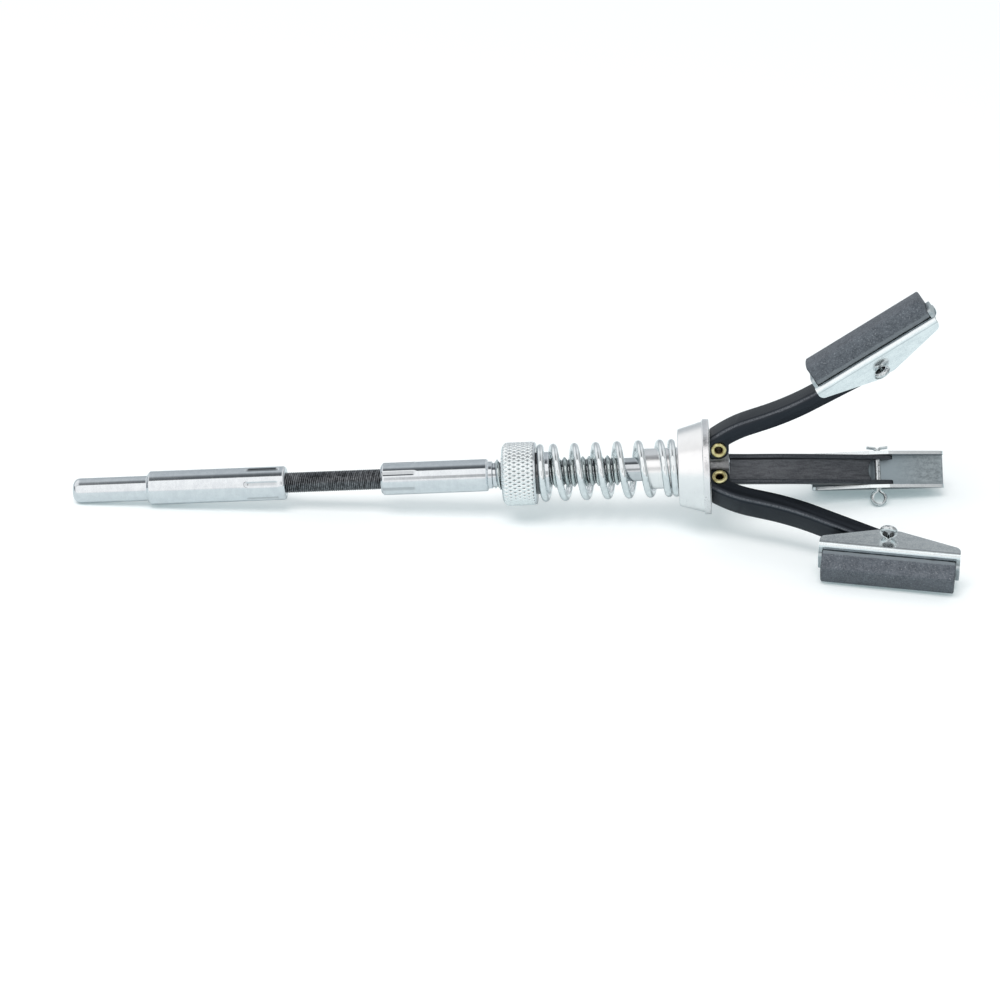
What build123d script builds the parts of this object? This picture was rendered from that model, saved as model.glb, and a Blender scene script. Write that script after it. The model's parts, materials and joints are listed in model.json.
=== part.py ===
"""Three-stone cylinder hone on a flexible drive shaft, in millimetres.

The origin lies on the tool's axis, at the shoulder of the drive shank. +X points along the tool
to the stones, and +Z points up, through the top arm.
"""

import os
from math import acos, atan2, cos, degrees, hypot, pi, radians, sin, tan

from build123d import *

# Drive shank and rear sleeve, turned from one bar
SHANK_DIAMETER = 5.2
SHANK_LENGTH = 15.8
SHANK_END_ROUND = 1.4
REAR_SLEEVE_DIAMETER = 7.0
REAR_SLEEVE_LENGTH = 29.0
REAR_CRIMP_FLATS = 6.6
REAR_CRIMP_LENGTH = 7.6
REAR_CRIMP_LIP = 1.1
REAR_CRIMP_TURN = 50.0
SLEEVE_CHAMFER = 0.5
SLEEVE_LIP_ROUND = 0.3
DRILL_POINT_ANGLE = 118.0

# Flexible shaft: a close-wound tube on a wire core, with an end in each sleeve
FLEX_DIAMETER = 4.25
FLEX_BORE = 2.7
FLEX_FREE_LENGTH = 19.9
FLEX_GRIP = 9.0
SOCKET_DEPTH = 10.2
SOCKET_CLEARANCE = 0.1
CORE_CLEARANCE = 0.05

# Spindle: front sleeve, thread and smooth shaft in one piece
FRONT_SLEEVE_DIAMETER = 6.7
FRONT_SLEEVE_LENGTH = 22.2
FRONT_CRIMP_FLATS = 6.4
FRONT_CRIMP_LENGTH = 8.0
FRONT_CRIMP_TURN = 27.0
NECK_DIAMETER = 5.6
NECK_LENGTH = 0.9
THREAD_DIAMETER = 6.3
THREAD_LENGTH = 27.45
THREAD_CHAMFER = 0.4
SHAFT_DIAMETER = 4.9
SHAFT_LENGTH = 17.65
TAIL_DIAMETER = 3.6
TAIL_PEEN = 0.3
PRESS_CLEARANCE = 0.02

# Adjusting nut
NUT_SETTING = 2.1
NUT_DIAMETER = 13.1
NUT_LENGTH = 7.1
NUT_CHAMFER = 1.3
NUT_CHAMFER_DEPTH = 1.0
NUT_RIM_BEVEL = 0.35
NUT_SPIGOT_LENGTH = 2.8
NUT_THREAD_CLEARANCE = 0.07

# Compression spring, with closed ends and its front end ground flat
SPRING_DIAMETER = 12.0
SPRING_WIRE = 1.5
SPRING_TURNS = 7.6
SPRING_CLOSED_PITCH = 1.56
SPRING_REAR_CLOSED = 0.6
SPRING_FRONT_CLOSED = 1.3
SPRING_GROUND = 0.45
SPRING_EASE = 0.3
SPRING_START_ANGLE = 65.0
SPRING_POINTS_PER_TURN = 8
SPRING_SEAT_GAP = 0.1
SPRING_NUT_CLEARANCE = 0.15
SPRING_CONE_CLEARANCE = 0.3

# Pressure cone that the spring pushes against the heels of the arms
CONE_SPIGOT_LENGTH = 7.3
CONE_SMALL_DIAMETER = 15.8
CONE_LARGE_DIAMETER = 18.8
CONE_LENGTH = 5.1
RIM_DIAMETER = 19.65
RIM_THICKNESS = 1.4
RIM_ROUND = 0.3
CONE_SLIDE_CLEARANCE = 0.08
HEEL_GAP = 0.1

# Hub with one fin for each arm
PIVOT_RADIUS = 5.0
HEEL_REACH = 1.8
HUB_FRONT_REACH = 2.0
HUB_BARREL_DIAMETER = 6.0
FIN_RISE = 1.6
FIN_FRONT_ROUND = 1.5
FIN_REAR_ROUND = 1.0
FIN_CLEARANCE = 0.1

# Arm: a bent channel, seen from its side with the pivot at (0, 0)
ARM_WIDTH = 6.2
ARM_DEPTH = 3.3
ARM_SHEET = 0.9
ARM_FOLD_ROUND = 1.1
ARM_HEEL_RISE = 2.5
ARM_REAR_KNEE = (2.6, 5.3)
ARM_FRONT_KNEE = (13.6, 8.6)
ARM_REAR_KNEE_RADIUS = 26.0
ARM_FRONT_KNEE_RADIUS = 60.0
ARM_SPREAD = 27.2
ARM_PIN_DISTANCE = 21.36
ARM_PIN_DEPTH = 1.6
ARM_EAR_REACH = 3.4
ARM_MOUTH_SIDES = 0.8
ARM_MOUTH_MIDDLE = 1.7
LOBE_RADIUS = 2.1
LOBE_TOP = 1.3
HEEL_ROUND = 0.5

# Hollow rivet that each arm turns on
RIVET_DIAMETER = 2.4
RIVET_BORE = 1.4
RIVET_HEAD_DIAMETER = 3.4
RIVET_HEAD_HEIGHT = 0.45
RIVET_HEAD_CHAMFER = 0.18
RIVET_CLEARANCE = 0.1

# Shoe holder, seen from its side with the pin at (0, 0)
HOLDER_SHEET = 0.7
HOLDER_FOLD_ROUND = 0.95
HOLDER_CLEARANCE = 0.1
HOLDER_REAR = 13.6
HOLDER_FRONT = 14.6
HOLDER_RISE = 3.4
HOLDER_END_EDGE = 1.1
HOLDER_EAR_HALF = 2.1
HOLDER_EAR_DROP = 1.7
HOLDER_EAR_ROUND = 1.2
TAB_WIDTH = 4.8
TAB_HEIGHT = 1.6
TAB_ROUND = 0.8
STOP_GAP = 0.1
LOWER_SHOE_TILT = 9.0

# Stone
STONE_WIDTH = 5.0
STONE_HEIGHT = 4.7
STONE_CROWN = 0.3
STONE_CHAMFER = 0.25
STONE_END_GAP = 0.05
GLUE_LINE = 0.05

# Cotter pin: a split shaft, an eye on one side and two bent legs on the other
PIN_DIAMETER = 1.3
PIN_SLIT = 0.12
PIN_WIRE = 0.65
PIN_WIRE_SIDES = 8
PIN_NECK = 0.15
PIN_OVERLAP = 0.2
PIN_EYE_WIDTH = 3.7
PIN_EYE_LENGTH = 3.9
PIN_LEG_DROP = 0.65
PIN_LEG_REACH = 2.2
PIN_LEG_LIFT = 0.2
PIN_LEG_BEND = 0.45
PIN_HOLDER_CLEARANCE = 0.05
PIN_ARM_CLEARANCE = 0.1

# Each arm's direction about the axis, and the side of it that carries the pin's eye
ARM_ANGLES = {"top": 90.0, "left": -30.0, "right": -150.0}
EYE_SIDES = {"top": 1, "left": -1, "right": -1}

# Places along the axis, from the shank's shoulder
front_sleeve_x = REAR_SLEEVE_LENGTH + FLEX_FREE_LENGTH
neck_x = front_sleeve_x + FRONT_SLEEVE_LENGTH
thread_x = neck_x + NECK_LENGTH
shaft_x = thread_x + THREAD_LENGTH
hub_x = shaft_x + SHAFT_LENGTH
pivot_x = hub_x + HEEL_REACH
hub_end_x = pivot_x + HUB_FRONT_REACH
nut_x = thread_x + NUT_SETTING
nut_face_x = nut_x + NUT_LENGTH
rim_front_x = hub_x - HEEL_GAP
rim_rear_x = rim_front_x - RIM_THICKNESS
cone_x = rim_rear_x - CONE_LENGTH

# The pin's place, seen from the arm's side with the pivot at (0, 0)
spread = radians(ARM_SPREAD)
pin_along = ARM_FRONT_KNEE[0] + ARM_PIN_DISTANCE * cos(spread) + ARM_PIN_DEPTH * sin(spread)
pin_out = ARM_FRONT_KNEE[1] + ARM_PIN_DISTANCE * sin(spread) - ARM_PIN_DEPTH * cos(spread)

# The top shoe hangs back until the rear end of its holder rests on the arm
holder_inside = HOLDER_RISE - HOLDER_SHEET
stop_reach = hypot(holder_inside, HOLDER_REAR)
stop_turn = degrees(acos((ARM_PIN_DEPTH + STOP_GAP) / stop_reach) - atan2(HOLDER_REAR, holder_inside))
SHOE_TILTS = {
    "top": ARM_SPREAD + stop_turn,
    "left": LOWER_SHOE_TILT,
    "right": LOWER_SHOE_TILT,
}

arm_inside = ARM_WIDTH - 2 * ARM_SHEET
holder_width = ARM_WIDTH + 2 * HOLDER_CLEARANCE + 2 * HOLDER_SHEET
spring_inside = SPRING_DIAMETER - 2 * SPRING_WIRE
socket_diameter = FLEX_DIAMETER + 2 * SOCKET_CLEARANCE

os.makedirs("parts", exist_ok=True)


def side_plane(angle, along=0.0, out=0.0, tilt=0.0):
    """A plane through the axis, turned to an arm: local x along the tool, local y outward."""
    outward = Vector(0, cos(radians(angle)), sin(radians(angle)))
    across = Vector(0, -sin(radians(angle)), cos(radians(angle)))
    forward = Vector(cos(radians(tilt)), 0, 0) + outward * sin(radians(tilt))
    return Plane(origin=Vector(along, 0, 0) + outward * out, x_dir=forward, z_dir=across)


def pivot_plane(angle):
    """The side of one arm, with the pivot at the origin."""
    return side_plane(angle, pivot_x, PIVOT_RADIUS)


def pin_plane(angle, tilt):
    """The side of one arm or shoe, with the cotter pin at the origin."""
    return side_plane(angle, pivot_x + pin_along, PIVOT_RADIUS + pin_out, tilt)


def section_plane(side, along):
    """Across a shoe, at a distance along it: local x across it, local y outward."""
    return Plane(origin=side.from_local_coords((along, 0)), x_dir=-side.z_dir, z_dir=side.x_dir)


def press_flats(start, length, sleeve_diameter, across_flats, turn):
    """Presses the six shallow flats of a crimp into a sleeve."""
    with BuildSketch(Plane.YZ.offset(start)) as waste:
        Circle(sleeve_diameter)
        RegularPolygon(
            across_flats / 2, 6, major_radius=False, rotation=turn, mode=Mode.SUBTRACT
        )
    extrude(waste.sketch, amount=length, mode=Mode.SUBTRACT)


def save(part, label):
    """Names a finished piece and writes it."""
    part.label = label
    export_step(part, f"parts/{label}.step")


# Drive shank
with BuildPart() as drive_shank:
    socket_bottom = REAR_SLEEVE_LENGTH - SOCKET_DEPTH
    drill_point = socket_diameter / 2 / tan(radians(DRILL_POINT_ANGLE / 2))
    with BuildSketch(Plane.XZ) as shank_profile:
        with BuildLine():
            Polyline(
                (-SHANK_LENGTH, 0),
                (-SHANK_LENGTH, SHANK_DIAMETER / 2),
                (0, SHANK_DIAMETER / 2),
                (0, REAR_SLEEVE_DIAMETER / 2 - SLEEVE_CHAMFER),
                (SLEEVE_CHAMFER, REAR_SLEEVE_DIAMETER / 2),
                (REAR_SLEEVE_LENGTH, REAR_SLEEVE_DIAMETER / 2),
                (REAR_SLEEVE_LENGTH, socket_diameter / 2),
                (socket_bottom, socket_diameter / 2),
                (socket_bottom - drill_point, 0),
                close=True,
            )
        make_face()
        fillet(shank_profile.vertices().group_by(Axis.X)[0].sort_by(Axis.Y)[-1], SHANK_END_ROUND)
    revolve(axis=Axis.X)
    fillet(drive_shank.edges().group_by(Axis.X)[-1], SLEEVE_LIP_ROUND)
    press_flats(
        REAR_SLEEVE_LENGTH - REAR_CRIMP_LIP - REAR_CRIMP_LENGTH,
        REAR_CRIMP_LENGTH,
        REAR_SLEEVE_DIAMETER,
        REAR_CRIMP_FLATS,
        REAR_CRIMP_TURN,
    )
save(drive_shank.part, "drive_shank")

# Flexible shaft
flex_x = REAR_SLEEVE_LENGTH - FLEX_GRIP
flex_length = FLEX_FREE_LENGTH + 2 * FLEX_GRIP
with BuildPart() as flex_shaft_winding:
    with BuildSketch(Plane.YZ.offset(flex_x)):
        Circle(FLEX_DIAMETER / 2)
        Circle(FLEX_BORE / 2, mode=Mode.SUBTRACT)
    extrude(amount=flex_length)
save(flex_shaft_winding.part, "flex_shaft_winding")

with BuildPart() as flex_shaft_core:
    with BuildSketch(Plane.YZ.offset(flex_x)):
        Circle(FLEX_BORE / 2 - CORE_CLEARANCE)
    extrude(amount=flex_length)
save(flex_shaft_core.part, "flex_shaft_core")

# Spindle
with BuildPart() as spindle:
    socket_bottom = front_sleeve_x + SOCKET_DEPTH
    with BuildSketch(Plane.XZ):
        with BuildLine():
            peen = TangentArc(
                (hub_end_x + TAIL_PEEN, 0), (hub_end_x, TAIL_DIAMETER / 2), tangent=(0, 1)
            )
            Polyline(
                peen @ 1,
                (hub_x, TAIL_DIAMETER / 2),
                (hub_x, SHAFT_DIAMETER / 2),
                (shaft_x, SHAFT_DIAMETER / 2),
                (shaft_x, THREAD_DIAMETER / 2 - THREAD_CHAMFER),
                (shaft_x - THREAD_CHAMFER, THREAD_DIAMETER / 2),
                (thread_x + THREAD_CHAMFER, THREAD_DIAMETER / 2),
                (thread_x, NECK_DIAMETER / 2),
                (neck_x, NECK_DIAMETER / 2),
                (neck_x, FRONT_SLEEVE_DIAMETER / 2),
                (front_sleeve_x + SLEEVE_CHAMFER, FRONT_SLEEVE_DIAMETER / 2),
                (front_sleeve_x, FRONT_SLEEVE_DIAMETER / 2 - SLEEVE_CHAMFER),
                (front_sleeve_x, socket_diameter / 2),
                (socket_bottom, socket_diameter / 2),
                (socket_bottom + drill_point, 0),
                peen @ 0,
            )
        make_face()
    revolve(axis=Axis.X)
    press_flats(
        front_sleeve_x,
        FRONT_CRIMP_LENGTH,
        FRONT_SLEEVE_DIAMETER,
        FRONT_CRIMP_FLATS,
        FRONT_CRIMP_TURN,
    )
save(spindle.part, "spindle")

# Adjusting nut, with a spigot that centres the spring
with BuildPart() as adjusting_nut:
    nut_bore = THREAD_DIAMETER / 2 + NUT_THREAD_CLEARANCE
    nut_spigot = spring_inside / 2 - SPRING_NUT_CLEARANCE
    with BuildSketch(Plane.XZ):
        with BuildLine():
            Polyline(
                (nut_x, nut_bore),
                (nut_x, NUT_DIAMETER / 2 - NUT_CHAMFER_DEPTH),
                (nut_x + NUT_CHAMFER, NUT_DIAMETER / 2),
                (nut_face_x - NUT_RIM_BEVEL, NUT_DIAMETER / 2),
                (nut_face_x, NUT_DIAMETER / 2 - NUT_RIM_BEVEL),
                (nut_face_x, nut_spigot),
                (nut_face_x + NUT_SPIGOT_LENGTH, nut_spigot),
                (nut_face_x + NUT_SPIGOT_LENGTH, nut_bore),
                close=True,
            )
        make_face()
    revolve(axis=Axis.X)
save(adjusting_nut.part, "adjusting_nut")

# Pressure cone
with BuildPart() as pressure_cone:
    cone_bore = SHAFT_DIAMETER / 2 + CONE_SLIDE_CLEARANCE
    cone_spigot = spring_inside / 2 - SPRING_CONE_CLEARANCE
    with BuildSketch(Plane.XZ) as cone_profile:
        with BuildLine():
            Polyline(
                (cone_x - CONE_SPIGOT_LENGTH, cone_bore),
                (cone_x - CONE_SPIGOT_LENGTH, cone_spigot),
                (cone_x, cone_spigot),
                (cone_x, CONE_SMALL_DIAMETER / 2),
                (rim_rear_x, CONE_LARGE_DIAMETER / 2),
                (rim_rear_x, RIM_DIAMETER / 2),
                (rim_front_x, RIM_DIAMETER / 2),
                (rim_front_x, cone_bore),
                close=True,
            )
        make_face()
        fillet(cone_profile.vertices().group_by(Axis.Y)[-1], RIM_ROUND)
    revolve(axis=Axis.X)
save(pressure_cone.part, "pressure_cone")

# Compression spring
spring_radius = (SPRING_DIAMETER - SPRING_WIRE) / 2
spring_start = nut_face_x + SPRING_SEAT_GAP + SPRING_WIRE / 2
spring_seat_x = cone_x - SPRING_SEAT_GAP
spring_travel = spring_seat_x - SPRING_WIRE / 2 + SPRING_GROUND - spring_start
open_turns = SPRING_TURNS - SPRING_REAR_CLOSED - SPRING_FRONT_CLOSED
closed_travel = SPRING_CLOSED_PITCH * SPRING_TURNS
open_pitch = SPRING_CLOSED_PITCH + (spring_travel - closed_travel) / open_turns


def eased(turns):
    """Turns past a change of pitch, with the change spread over a short ease."""
    if abs(turns) >= SPRING_EASE:
        return max(turns, 0.0)
    return (turns + SPRING_EASE) ** 2 / (4 * SPRING_EASE)


def spring_point(turns):
    """The middle of the wire, so many turns from the spring's rear end."""
    opened = eased(turns - SPRING_REAR_CLOSED) - eased(turns - SPRING_TURNS + SPRING_FRONT_CLOSED)
    along = spring_start + SPRING_CLOSED_PITCH * turns
    along += (open_pitch - SPRING_CLOSED_PITCH) * opened
    angle = radians(SPRING_START_ANGLE) + 2 * pi * turns
    return Vector(along, spring_radius * cos(angle), spring_radius * sin(angle))


with BuildPart() as spring:
    steps = round(SPRING_TURNS * SPRING_POINTS_PER_TURN)
    with BuildLine() as spring_line:
        coil = Spline(*[spring_point(SPRING_TURNS * step / steps) for step in range(steps + 1)])
    with BuildSketch(Plane(origin=coil @ 0, z_dir=coil % 0)):
        Circle(SPRING_WIRE / 2)
    sweep()
    split(bisect_by=Plane.YZ.offset(spring_seat_x), keep=Keep.BOTTOM)
save(spring.part, "spring")

# Hub
with BuildPart() as hub:
    with BuildSketch(Plane.YZ.offset(hub_x)):
        Circle(HUB_BARREL_DIAMETER / 2)
    extrude(amount=hub_end_x - hub_x)
    for arm_angle in ARM_ANGLES.values():
        with BuildSketch(pivot_plane(arm_angle)) as fin:
            with Locations(((HUB_FRONT_REACH - HEEL_REACH) / 2, (FIN_RISE - PIVOT_RADIUS) / 2)):
                Rectangle(HEEL_REACH + HUB_FRONT_REACH, FIN_RISE + PIVOT_RADIUS)
            fillet(fin.vertices().group_by(Axis.Y)[-1].sort_by(Axis.X)[0], FIN_REAR_ROUND)
            fillet(fin.vertices().group_by(Axis.Y)[-1].sort_by(Axis.X)[-1], FIN_FRONT_ROUND)
        extrude(amount=arm_inside / 2 - FIN_CLEARANCE, both=True)
    for arm_angle in ARM_ANGLES.values():
        with Locations(pivot_plane(arm_angle).offset(ARM_WIDTH)):
            Hole(RIVET_DIAMETER / 2 + RIVET_CLEARANCE)
    with Locations(Plane.YZ.offset(hub_end_x)):
        Hole(TAIL_DIAMETER / 2 + PRESS_CLEARANCE)
save(hub.part, "hub")


def make_arm(angle):
    """One arm: a bent channel with a lobed heel at the hub and a pair of ears at the shoe."""
    side = pivot_plane(angle)
    ear = pin_plane(angle, ARM_SPREAD)
    ear_round = ARM_DEPTH / 2
    heel_slope = (ARM_REAR_KNEE[1] - ARM_HEEL_RISE) / (ARM_REAR_KNEE[0] + HEEL_REACH)
    web_start = -HEEL_REACH - ARM_DEPTH
    web_end = ARM_PIN_DISTANCE + ARM_EAR_REACH
    with BuildPart() as arm:
        with BuildLine(side):
            web = FilletPolyline(
                (web_start, ARM_HEEL_RISE - heel_slope * ARM_DEPTH),
                ARM_REAR_KNEE,
                ARM_FRONT_KNEE,
                (ARM_FRONT_KNEE[0] + web_end * cos(spread), ARM_FRONT_KNEE[1] + web_end * sin(spread)),
                radius=[ARM_REAR_KNEE_RADIUS, ARM_FRONT_KNEE_RADIUS],
            )
        with BuildSketch(Plane(origin=web @ 0, x_dir=-side.z_dir, z_dir=web % 0)) as channel:
            Rectangle(ARM_WIDTH, ARM_DEPTH, align=(Align.CENTER, Align.MAX))
            fillet(channel.vertices().group_by(Axis.Y)[-1], ARM_FOLD_ROUND)
            with Locations((0, -ARM_SHEET)):
                Rectangle(arm_inside, ARM_DEPTH, align=(Align.CENTER, Align.MAX), mode=Mode.SUBTRACT)
        sweep()
        split(bisect_by=Plane.YZ.offset(hub_x), keep=Keep.TOP)
        # Lobes that carry the rivet, one on each flange
        with BuildSketch(side.offset(arm_inside / 2), side.offset(-ARM_WIDTH / 2)) as lobe:
            with Locations(((LOBE_RADIUS - HEEL_REACH) / 2, (LOBE_TOP - LOBE_RADIUS) / 2)):
                Rectangle(LOBE_RADIUS + HEEL_REACH, LOBE_TOP + LOBE_RADIUS)
            fillet(lobe.vertices().group_by(Axis.Y)[0].sort_by(Axis.X)[0], HEEL_ROUND)
            fillet(lobe.vertices().group_by(Axis.Y)[0].sort_by(Axis.X)[-1], LOBE_RADIUS)
        extrude(amount=ARM_SHEET)
        # Round ends of the ears
        with BuildSketch(ear):
            with Locations((ARM_EAR_REACH - ear_round, ARM_PIN_DEPTH - ear_round)):
                Rectangle(ARM_DEPTH, 2 * ARM_DEPTH, align=(Align.MIN, Align.CENTER))
                Circle(ear_round, mode=Mode.SUBTRACT)
        extrude(amount=ARM_WIDTH, both=True, mode=Mode.SUBTRACT)
        # Hollowed front end of the web
        mouth_plane = Plane(
            origin=ear.from_local_coords((0, ARM_PIN_DEPTH)), x_dir=ear.x_dir, z_dir=ear.y_dir
        )
        with BuildSketch(mouth_plane):
            with BuildLine():
                hollow = ThreePointArc(
                    (-ARM_MOUTH_SIDES, -arm_inside / 2),
                    (-ARM_MOUTH_MIDDLE, 0),
                    (-ARM_MOUTH_SIDES, arm_inside / 2),
                )
                Polyline(
                    hollow @ 1,
                    (2 * ARM_EAR_REACH, arm_inside / 2),
                    (2 * ARM_EAR_REACH, -arm_inside / 2),
                    hollow @ 0,
                )
            make_face()
        extrude(amount=ARM_DEPTH / 2, both=True, mode=Mode.SUBTRACT)
        with Locations(side.offset(ARM_WIDTH)):
            Hole(RIVET_DIAMETER / 2 + PRESS_CLEARANCE)
        with Locations(ear.offset(ARM_WIDTH)):
            Hole(PIN_DIAMETER / 2 + PIN_ARM_CLEARANCE)
    return arm.part


def make_arm_rivet(angle):
    """The hollow rivet of one arm, with a rolled head outside each flange."""
    side = pivot_plane(angle)
    seat = ARM_WIDTH / 2 + PRESS_CLEARANCE
    with BuildPart() as rivet:
        with BuildSketch(Plane(origin=side.origin, x_dir=side.y_dir, z_dir=side.x_dir)) as wall:
            with BuildLine():
                Polyline(
                    (RIVET_BORE / 2, -seat - RIVET_HEAD_HEIGHT),
                    (RIVET_HEAD_DIAMETER / 2, -seat - RIVET_HEAD_HEIGHT),
                    (RIVET_HEAD_DIAMETER / 2, -seat),
                    (RIVET_DIAMETER / 2, -seat),
                    (RIVET_DIAMETER / 2, seat),
                    (RIVET_HEAD_DIAMETER / 2, seat),
                    (RIVET_HEAD_DIAMETER / 2, seat + RIVET_HEAD_HEIGHT),
                    (RIVET_BORE / 2, seat + RIVET_HEAD_HEIGHT),
                    close=True,
                )
            make_face()
            chamfer(wall.vertices().group_by(Axis.Y)[0], RIVET_HEAD_CHAMFER)
            chamfer(wall.vertices().group_by(Axis.Y)[-1], RIVET_HEAD_CHAMFER)
        revolve(axis=Axis(side.origin, side.z_dir))
    return rivet.part


def make_shoe_holder(angle, tilt):
    """One shoe holder: a folded channel with a low ear on each side and a tab at each end."""
    side = pin_plane(angle, tilt)
    length = HOLDER_REAR + HOLDER_FRONT
    with BuildPart() as holder:
        with BuildSketch(section_plane(side, -HOLDER_REAR)) as channel:
            with Locations((0, HOLDER_RISE)):
                Rectangle(holder_width, 2 * HOLDER_RISE, align=(Align.CENTER, Align.MAX))
            fillet(channel.vertices().group_by(Axis.Y)[-1], HOLDER_FOLD_ROUND)
            with Locations((0, holder_inside)):
                Rectangle(
                    holder_width - 2 * HOLDER_SHEET,
                    2 * HOLDER_RISE,
                    align=(Align.CENTER, Align.MAX),
                    mode=Mode.SUBTRACT,
                )
        extrude(amount=length)
        with BuildSketch(side) as outline:
            with BuildLine():
                Polyline(
                    (-HOLDER_REAR, HOLDER_RISE),
                    (-HOLDER_REAR, HOLDER_END_EDGE),
                    (-HOLDER_EAR_HALF, -HOLDER_EAR_DROP),
                    (HOLDER_EAR_HALF, -HOLDER_EAR_DROP),
                    (HOLDER_FRONT, HOLDER_END_EDGE),
                    (HOLDER_FRONT, HOLDER_RISE),
                    close=True,
                )
            make_face()
            fillet(outline.vertices().sort_by(Axis.Y)[:4], HOLDER_EAR_ROUND)
        extrude(amount=holder_width, both=True, mode=Mode.INTERSECT)
        tab_starts = (-HOLDER_REAR, HOLDER_FRONT - HOLDER_SHEET)
        with BuildSketch(*[section_plane(side, start) for start in tab_starts]) as tab:
            with Locations((0, holder_inside)):
                Rectangle(TAB_WIDTH, HOLDER_SHEET + TAB_HEIGHT, align=(Align.CENTER, Align.MIN))
            fillet(tab.vertices().group_by(Axis.Y)[-1], TAB_ROUND)
        extrude(amount=HOLDER_SHEET)
        with Locations(side.offset(holder_width)):
            Hole(PIN_DIAMETER / 2 + PIN_HOLDER_CLEARANCE)
    return holder.part


def make_stone(angle, tilt):
    """One stone: a bar with a slightly crowned face, glued between the tabs of its holder."""
    side = pin_plane(angle, tilt)
    rear = HOLDER_SHEET + STONE_END_GAP - HOLDER_REAR
    front = HOLDER_FRONT - HOLDER_SHEET - STONE_END_GAP
    base = HOLDER_RISE + GLUE_LINE
    shoulder = base + STONE_HEIGHT - STONE_CROWN
    half = STONE_WIDTH / 2
    with BuildPart() as stone:
        with BuildSketch(section_plane(side, rear)):
            with BuildLine():
                crown = ThreePointArc((-half, shoulder), (0, base + STONE_HEIGHT), (half, shoulder))
                Polyline(crown @ 1, (half, base), (-half, base), crown @ 0)
            make_face()
        extrude(amount=front - rear)
        ends = stone.faces().filter_by(Axis(side.origin, side.x_dir))
        chamfer(ends.edges(), STONE_CHAMFER)
    return stone.part


def bend_wire(flat, start, centre, turn):
    """Adds one round bend of wire in a plane, from its start about its centre."""
    start_point = flat.from_local_coords(start)
    centre_point = flat.from_local_coords(centre)
    spoke = start_point - centre_point
    across = flat.z_dir.cross(spoke)
    with BuildSketch(Plane(origin=start_point, x_dir=flat.z_dir, z_dir=across)) as section:
        RegularPolygon(PIN_WIRE / 2, PIN_WIRE_SIDES)
    revolve(section.sketch, axis=Axis(centre_point, flat.z_dir), revolution_arc=turn)


def make_cotter_pin(angle, tilt, eye_side):
    """One cotter pin: its split shaft, its eye on one side and its bent legs on the other."""
    side = pin_plane(angle, tilt)
    flat = Plane(origin=side.origin, x_dir=side.x_dir, z_dir=side.y_dir * -eye_side)
    wire_place = (PIN_SLIT + PIN_WIRE) / 2
    ear_face = holder_width / 2
    neck = ear_face + PIN_NECK
    eye_radius = (PIN_EYE_WIDTH - PIN_WIRE) / 2
    eye_centre = ear_face + PIN_EYE_LENGTH - PIN_EYE_WIDTH / 2
    eye_rise = eye_centre - neck
    neck_radius = (eye_rise**2 - eye_radius**2 + wire_place**2) / (2 * (eye_radius - wire_place))
    neck_turn = degrees(atan2(eye_rise, wire_place + neck_radius))
    with BuildPart() as pin:
        with BuildSketch(Plane(origin=side.origin, x_dir=side.x_dir, z_dir=side.z_dir)):
            Circle(PIN_DIAMETER / 2)
            Rectangle(PIN_SLIT, 2 * PIN_DIAMETER, mode=Mode.SUBTRACT)
        extrude(amount=neck + PIN_OVERLAP, both=True)
        bend_wire(flat, (wire_place, neck), (wire_place + neck_radius, neck), -neck_turn)
        bend_wire(flat, (-wire_place, neck), (-wire_place - neck_radius, neck), neck_turn)
        loop_side = eye_radius * cos(radians(neck_turn))
        loop_foot = eye_centre - eye_radius * sin(radians(neck_turn))
        bend_wire(flat, (loop_side, loop_foot), (0, eye_centre), 180 + 2 * neck_turn)
        for leg in (-1, 1):
            with BuildLine(flat):
                bend = FilletPolyline(
                    (leg * wire_place, -neck),
                    (leg * wire_place, -ear_face - PIN_LEG_DROP),
                    (leg * PIN_LEG_REACH, -ear_face - PIN_LEG_DROP - PIN_LEG_LIFT),
                    radius=PIN_LEG_BEND,
                )
            with BuildSketch(Plane(origin=bend @ 0, x_dir=flat.z_dir, z_dir=bend % 0)):
                RegularPolygon(PIN_WIRE / 2, PIN_WIRE_SIDES)
            sweep()
    return pin.part


for name, arm_angle in ARM_ANGLES.items():
    shoe_tilt = SHOE_TILTS[name]
    save(make_arm(arm_angle), f"{name}_arm")
    save(make_arm_rivet(arm_angle), f"{name}_arm_rivet")
    save(make_shoe_holder(arm_angle, shoe_tilt), f"{name}_shoe_holder")
    save(make_stone(arm_angle, shoe_tilt), f"{name}_stone")
    save(make_cotter_pin(arm_angle, shoe_tilt, EYE_SIDES[name]), f"{name}_cotter_pin")
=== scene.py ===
"""Dresses a three-stone cylinder hone: turned zinc pieces, wound wire, black arms and grey stones.

Sizes are in millimetres in the tool's own frame: +X runs from the drive shank to the stones, and
+Z points up, through the top arm. Times MM they are metres, like the settings, the frame and the
inputs of the node trees.
"""

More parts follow.
